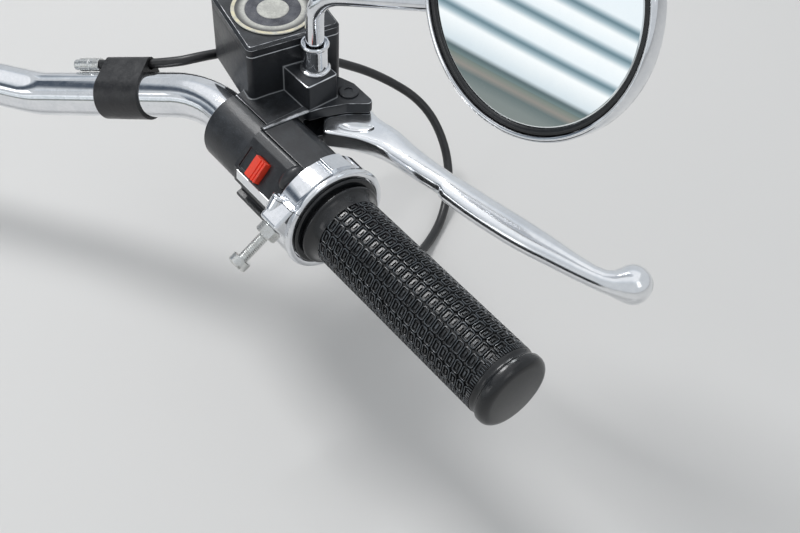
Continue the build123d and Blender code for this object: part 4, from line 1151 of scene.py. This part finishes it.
# Each card's centre, facing and the run of its height, with its colours from 0 at the lower edge to 1 at the top.
# The slats' colours lie at distances from each slat's middle, counted in half its width.
# The cards glow and only reflections show them: their colour bands are painted reflections of a bright ceiling, a wall
# and a dark flag, and of the slats and low band in the mirror glass
cards = {
    "ceilingCard": {
        "centre": (-0.25, 0.35, 1.9), "facing": (0.0, 0.0, -1.0), "across": (1.0, 0.0, 0.0), "width": 3.4,
        "run": (-1.7, 1.7),
        "stops": [(0.0, (0.55, 0.60, 0.66)), (0.25, (0.95, 0.97, 1.0)), (0.8, (0.95, 0.97, 1.0)),
                  (1.0, (0.6, 0.65, 0.7))]},
    "wallCard": {
        "centre": (-1.9, 0.2, 0.75), "facing": (1.0, -0.1, 0.0), "width": 3.0, "run": (-0.5, 0.45),
        "stops": [(0.0, (0.10, 0.12, 0.15)), (0.45, (0.16, 0.19, 0.23)), (0.75, (0.50, 0.55, 0.60)),
                  (1.0, (0.8, 0.84, 0.88))]},
    "slatCard": {
        "centre": (-0.6654, -0.6927, -0.0112), "facing": (0.8312, 0.5463, 0.1034), "width": 0.62,
        "run": (-0.17, 0.20), "strength": 1.1, "slats": [-0.0105, 0.0415, 0.087], "halfSlat": 0.00725,
        "band": [(-0.17, (0.30, 0.31, 0.27)), (-0.125, (0.42, 0.40, 0.35)), (-0.095, (0.22, 0.26, 0.24)),
                 (-0.0745, (0.19, 0.25, 0.25)), (-0.0665, (0.11, 0.15, 0.16)), (-0.0585, (0.72, 0.78, 0.82))],
        "slat": [(-2.1, (1.0, 1.0, 1.0)), (-1.0, (0.42, 0.52, 0.57)), (0.0, (0.15, 0.23, 0.27)),
                 (0.5, (0.33, 0.42, 0.47)), (1.5, (0.88, 0.92, 0.95))]},
    "lowReflectionCard": {
        "centre": (-0.6654, -0.6927, -0.0857), "facing": (0.0, 0.0, 1.0), "across": (-0.5463, 0.8312, 0.0),
        "width": 0.62, "run": (-0.50, 0.01),
        "stops": [(0.0, (0.30, 0.31, 0.29)), (0.55, (0.26, 0.29, 0.28)), (0.72, (0.17, 0.21, 0.21)),
                  (0.82, (0.34, 0.31, 0.28)), (0.92, (0.25, 0.28, 0.25)), (1.0, (0.15, 0.20, 0.20))]},
    "darkCard": {
        "centre": (-0.64, -0.33, 0.60), "facing": (0.89, 0.33, -0.55), "width": 1.3, "run": (-0.12, 0.12),
        "stops": [(0.0, (0.42, 0.45, 0.48)), (0.3, (0.08, 0.10, 0.13)), (0.7, (0.07, 0.09, 0.12)),
                  (1.0, (0.55, 0.60, 0.65))]},
}


def slatStops(card):
    # Painted reflection: pale slats with soft dark gaps above a dull band
    low, high = card["run"]
    stops = card["band"] + [
        (middle + card["halfSlat"] * step, colour) for middle in card["slats"] for step, colour in card["slat"]]
    return [((height - low) / (high - low), colour) for height, colour in stops]


def cardMaterial(name, stops, strength):
    inputs = {"Base Color": (0, 0, 0, 1), "Specular IOR Level": 0.0, "Emission Strength": strength}
    material = plainMaterial(name, **inputs)
    tree = material.node_tree
    ramp = addNode(tree, "ValToRGB", None, {0: attribute(tree, "height")})
    ramp.color_ramp.interpolation = "LINEAR"
    while len(ramp.color_ramp.elements) < len(stops):
        ramp.color_ramp.elements.new(1.0)
    for element, (position, colour) in zip(ramp.color_ramp.elements, stops):
        element.position = position
        element.color = (*colour, 1)
    tree.links.new(ramp.outputs[0], tree.nodes["Principled BSDF"].inputs["Emission Color"])
    return material


for name, card in cards.items():
    zAxis = Vector(card["facing"]).normalized()
    xAxis = Vector(card.get("across") or Vector((0, 0, 1)).cross(zAxis)).normalized()
    low, high = card["run"]
    bm = grid(0.5)
    height = layerOf(bm, "height")
    for vert in bm.verts:
        vert[height] = vert.co.y + 0.5
    bmesh.ops.scale(bm, verts=bm.verts, vec=(card["width"], high - low, 1))
    bmesh.ops.translate(bm, verts=bm.verts, vec=(0, (low + high) / 2, 0))
    moved(bm, frameFrom(card["centre"], xAxis, zAxis.cross(xAxis), zAxis, 1))
    stops = slatStops(card) if "slats" in card else card["stops"]
    piece = stagePiece(bm, name, cardMaterial(name, stops, card.get("strength", 1.0)))
    piece.visible_camera = piece.visible_diffuse = piece.visible_shadow = False

world = bpy.data.worlds.new("studio")
world.use_nodes = True
scene.world = world
tree = world.node_tree
tree.nodes.clear()
rays = addNode(tree, "LightPath").outputs
mirroredRay = mathNode(tree, "MAXIMUM", rays["Is Glossy Ray"], rays["Is Transmission Ray"])
seen = mathNode(tree, "MAXIMUM", rays["Is Camera Ray"], mirroredRay)
lighting = addNode(tree, "Background", None, stageSet["lighting"])
backdrop = addNode(tree, "Background", None, stageSet["backdrop"])
mixed = addNode(tree, "MixShader", None, {0: seen, 1: lighting.outputs[0], 2: backdrop.outputs[0]})
tree.links.new(mixed.outputs[0], addNode(tree, "OutputWorld").inputs[0])

lamps = {
    "keyBox": {"place": (-0.35, 0.30, 1.25), "aim": (0.27, 0.0, 0.05), "size": (0.46, 0.46), "power": 9.5},
    "sideBox": {"place": (1.3, -0.7, 1.0), "aim": (0.25, 0.0, 0.05), "size": (0.5, 0.8), "power": 1.2},
    "lowBox": {"place": (-0.5, -0.9, 0.55), "aim": (0.25, 0.0, 0.03), "size": (0.7, 0.35), "power": 1.2},
}
for name, lamp in lamps.items():
    data = bpy.data.lights.new(name, "AREA")
    data.shape = "RECTANGLE"
    data.size, data.size_y = lamp["size"]
    data.energy = lamp["power"]
    light = bpy.data.objects.new(name, data)
    light.location = lamp["place"]
    light.rotation_euler = (Vector(lamp["aim"]) - Vector(lamp["place"])).to_track_quat("-Z", "Y").to_euler()
    scene.collection.objects.link(light)
print("stage and lamps")
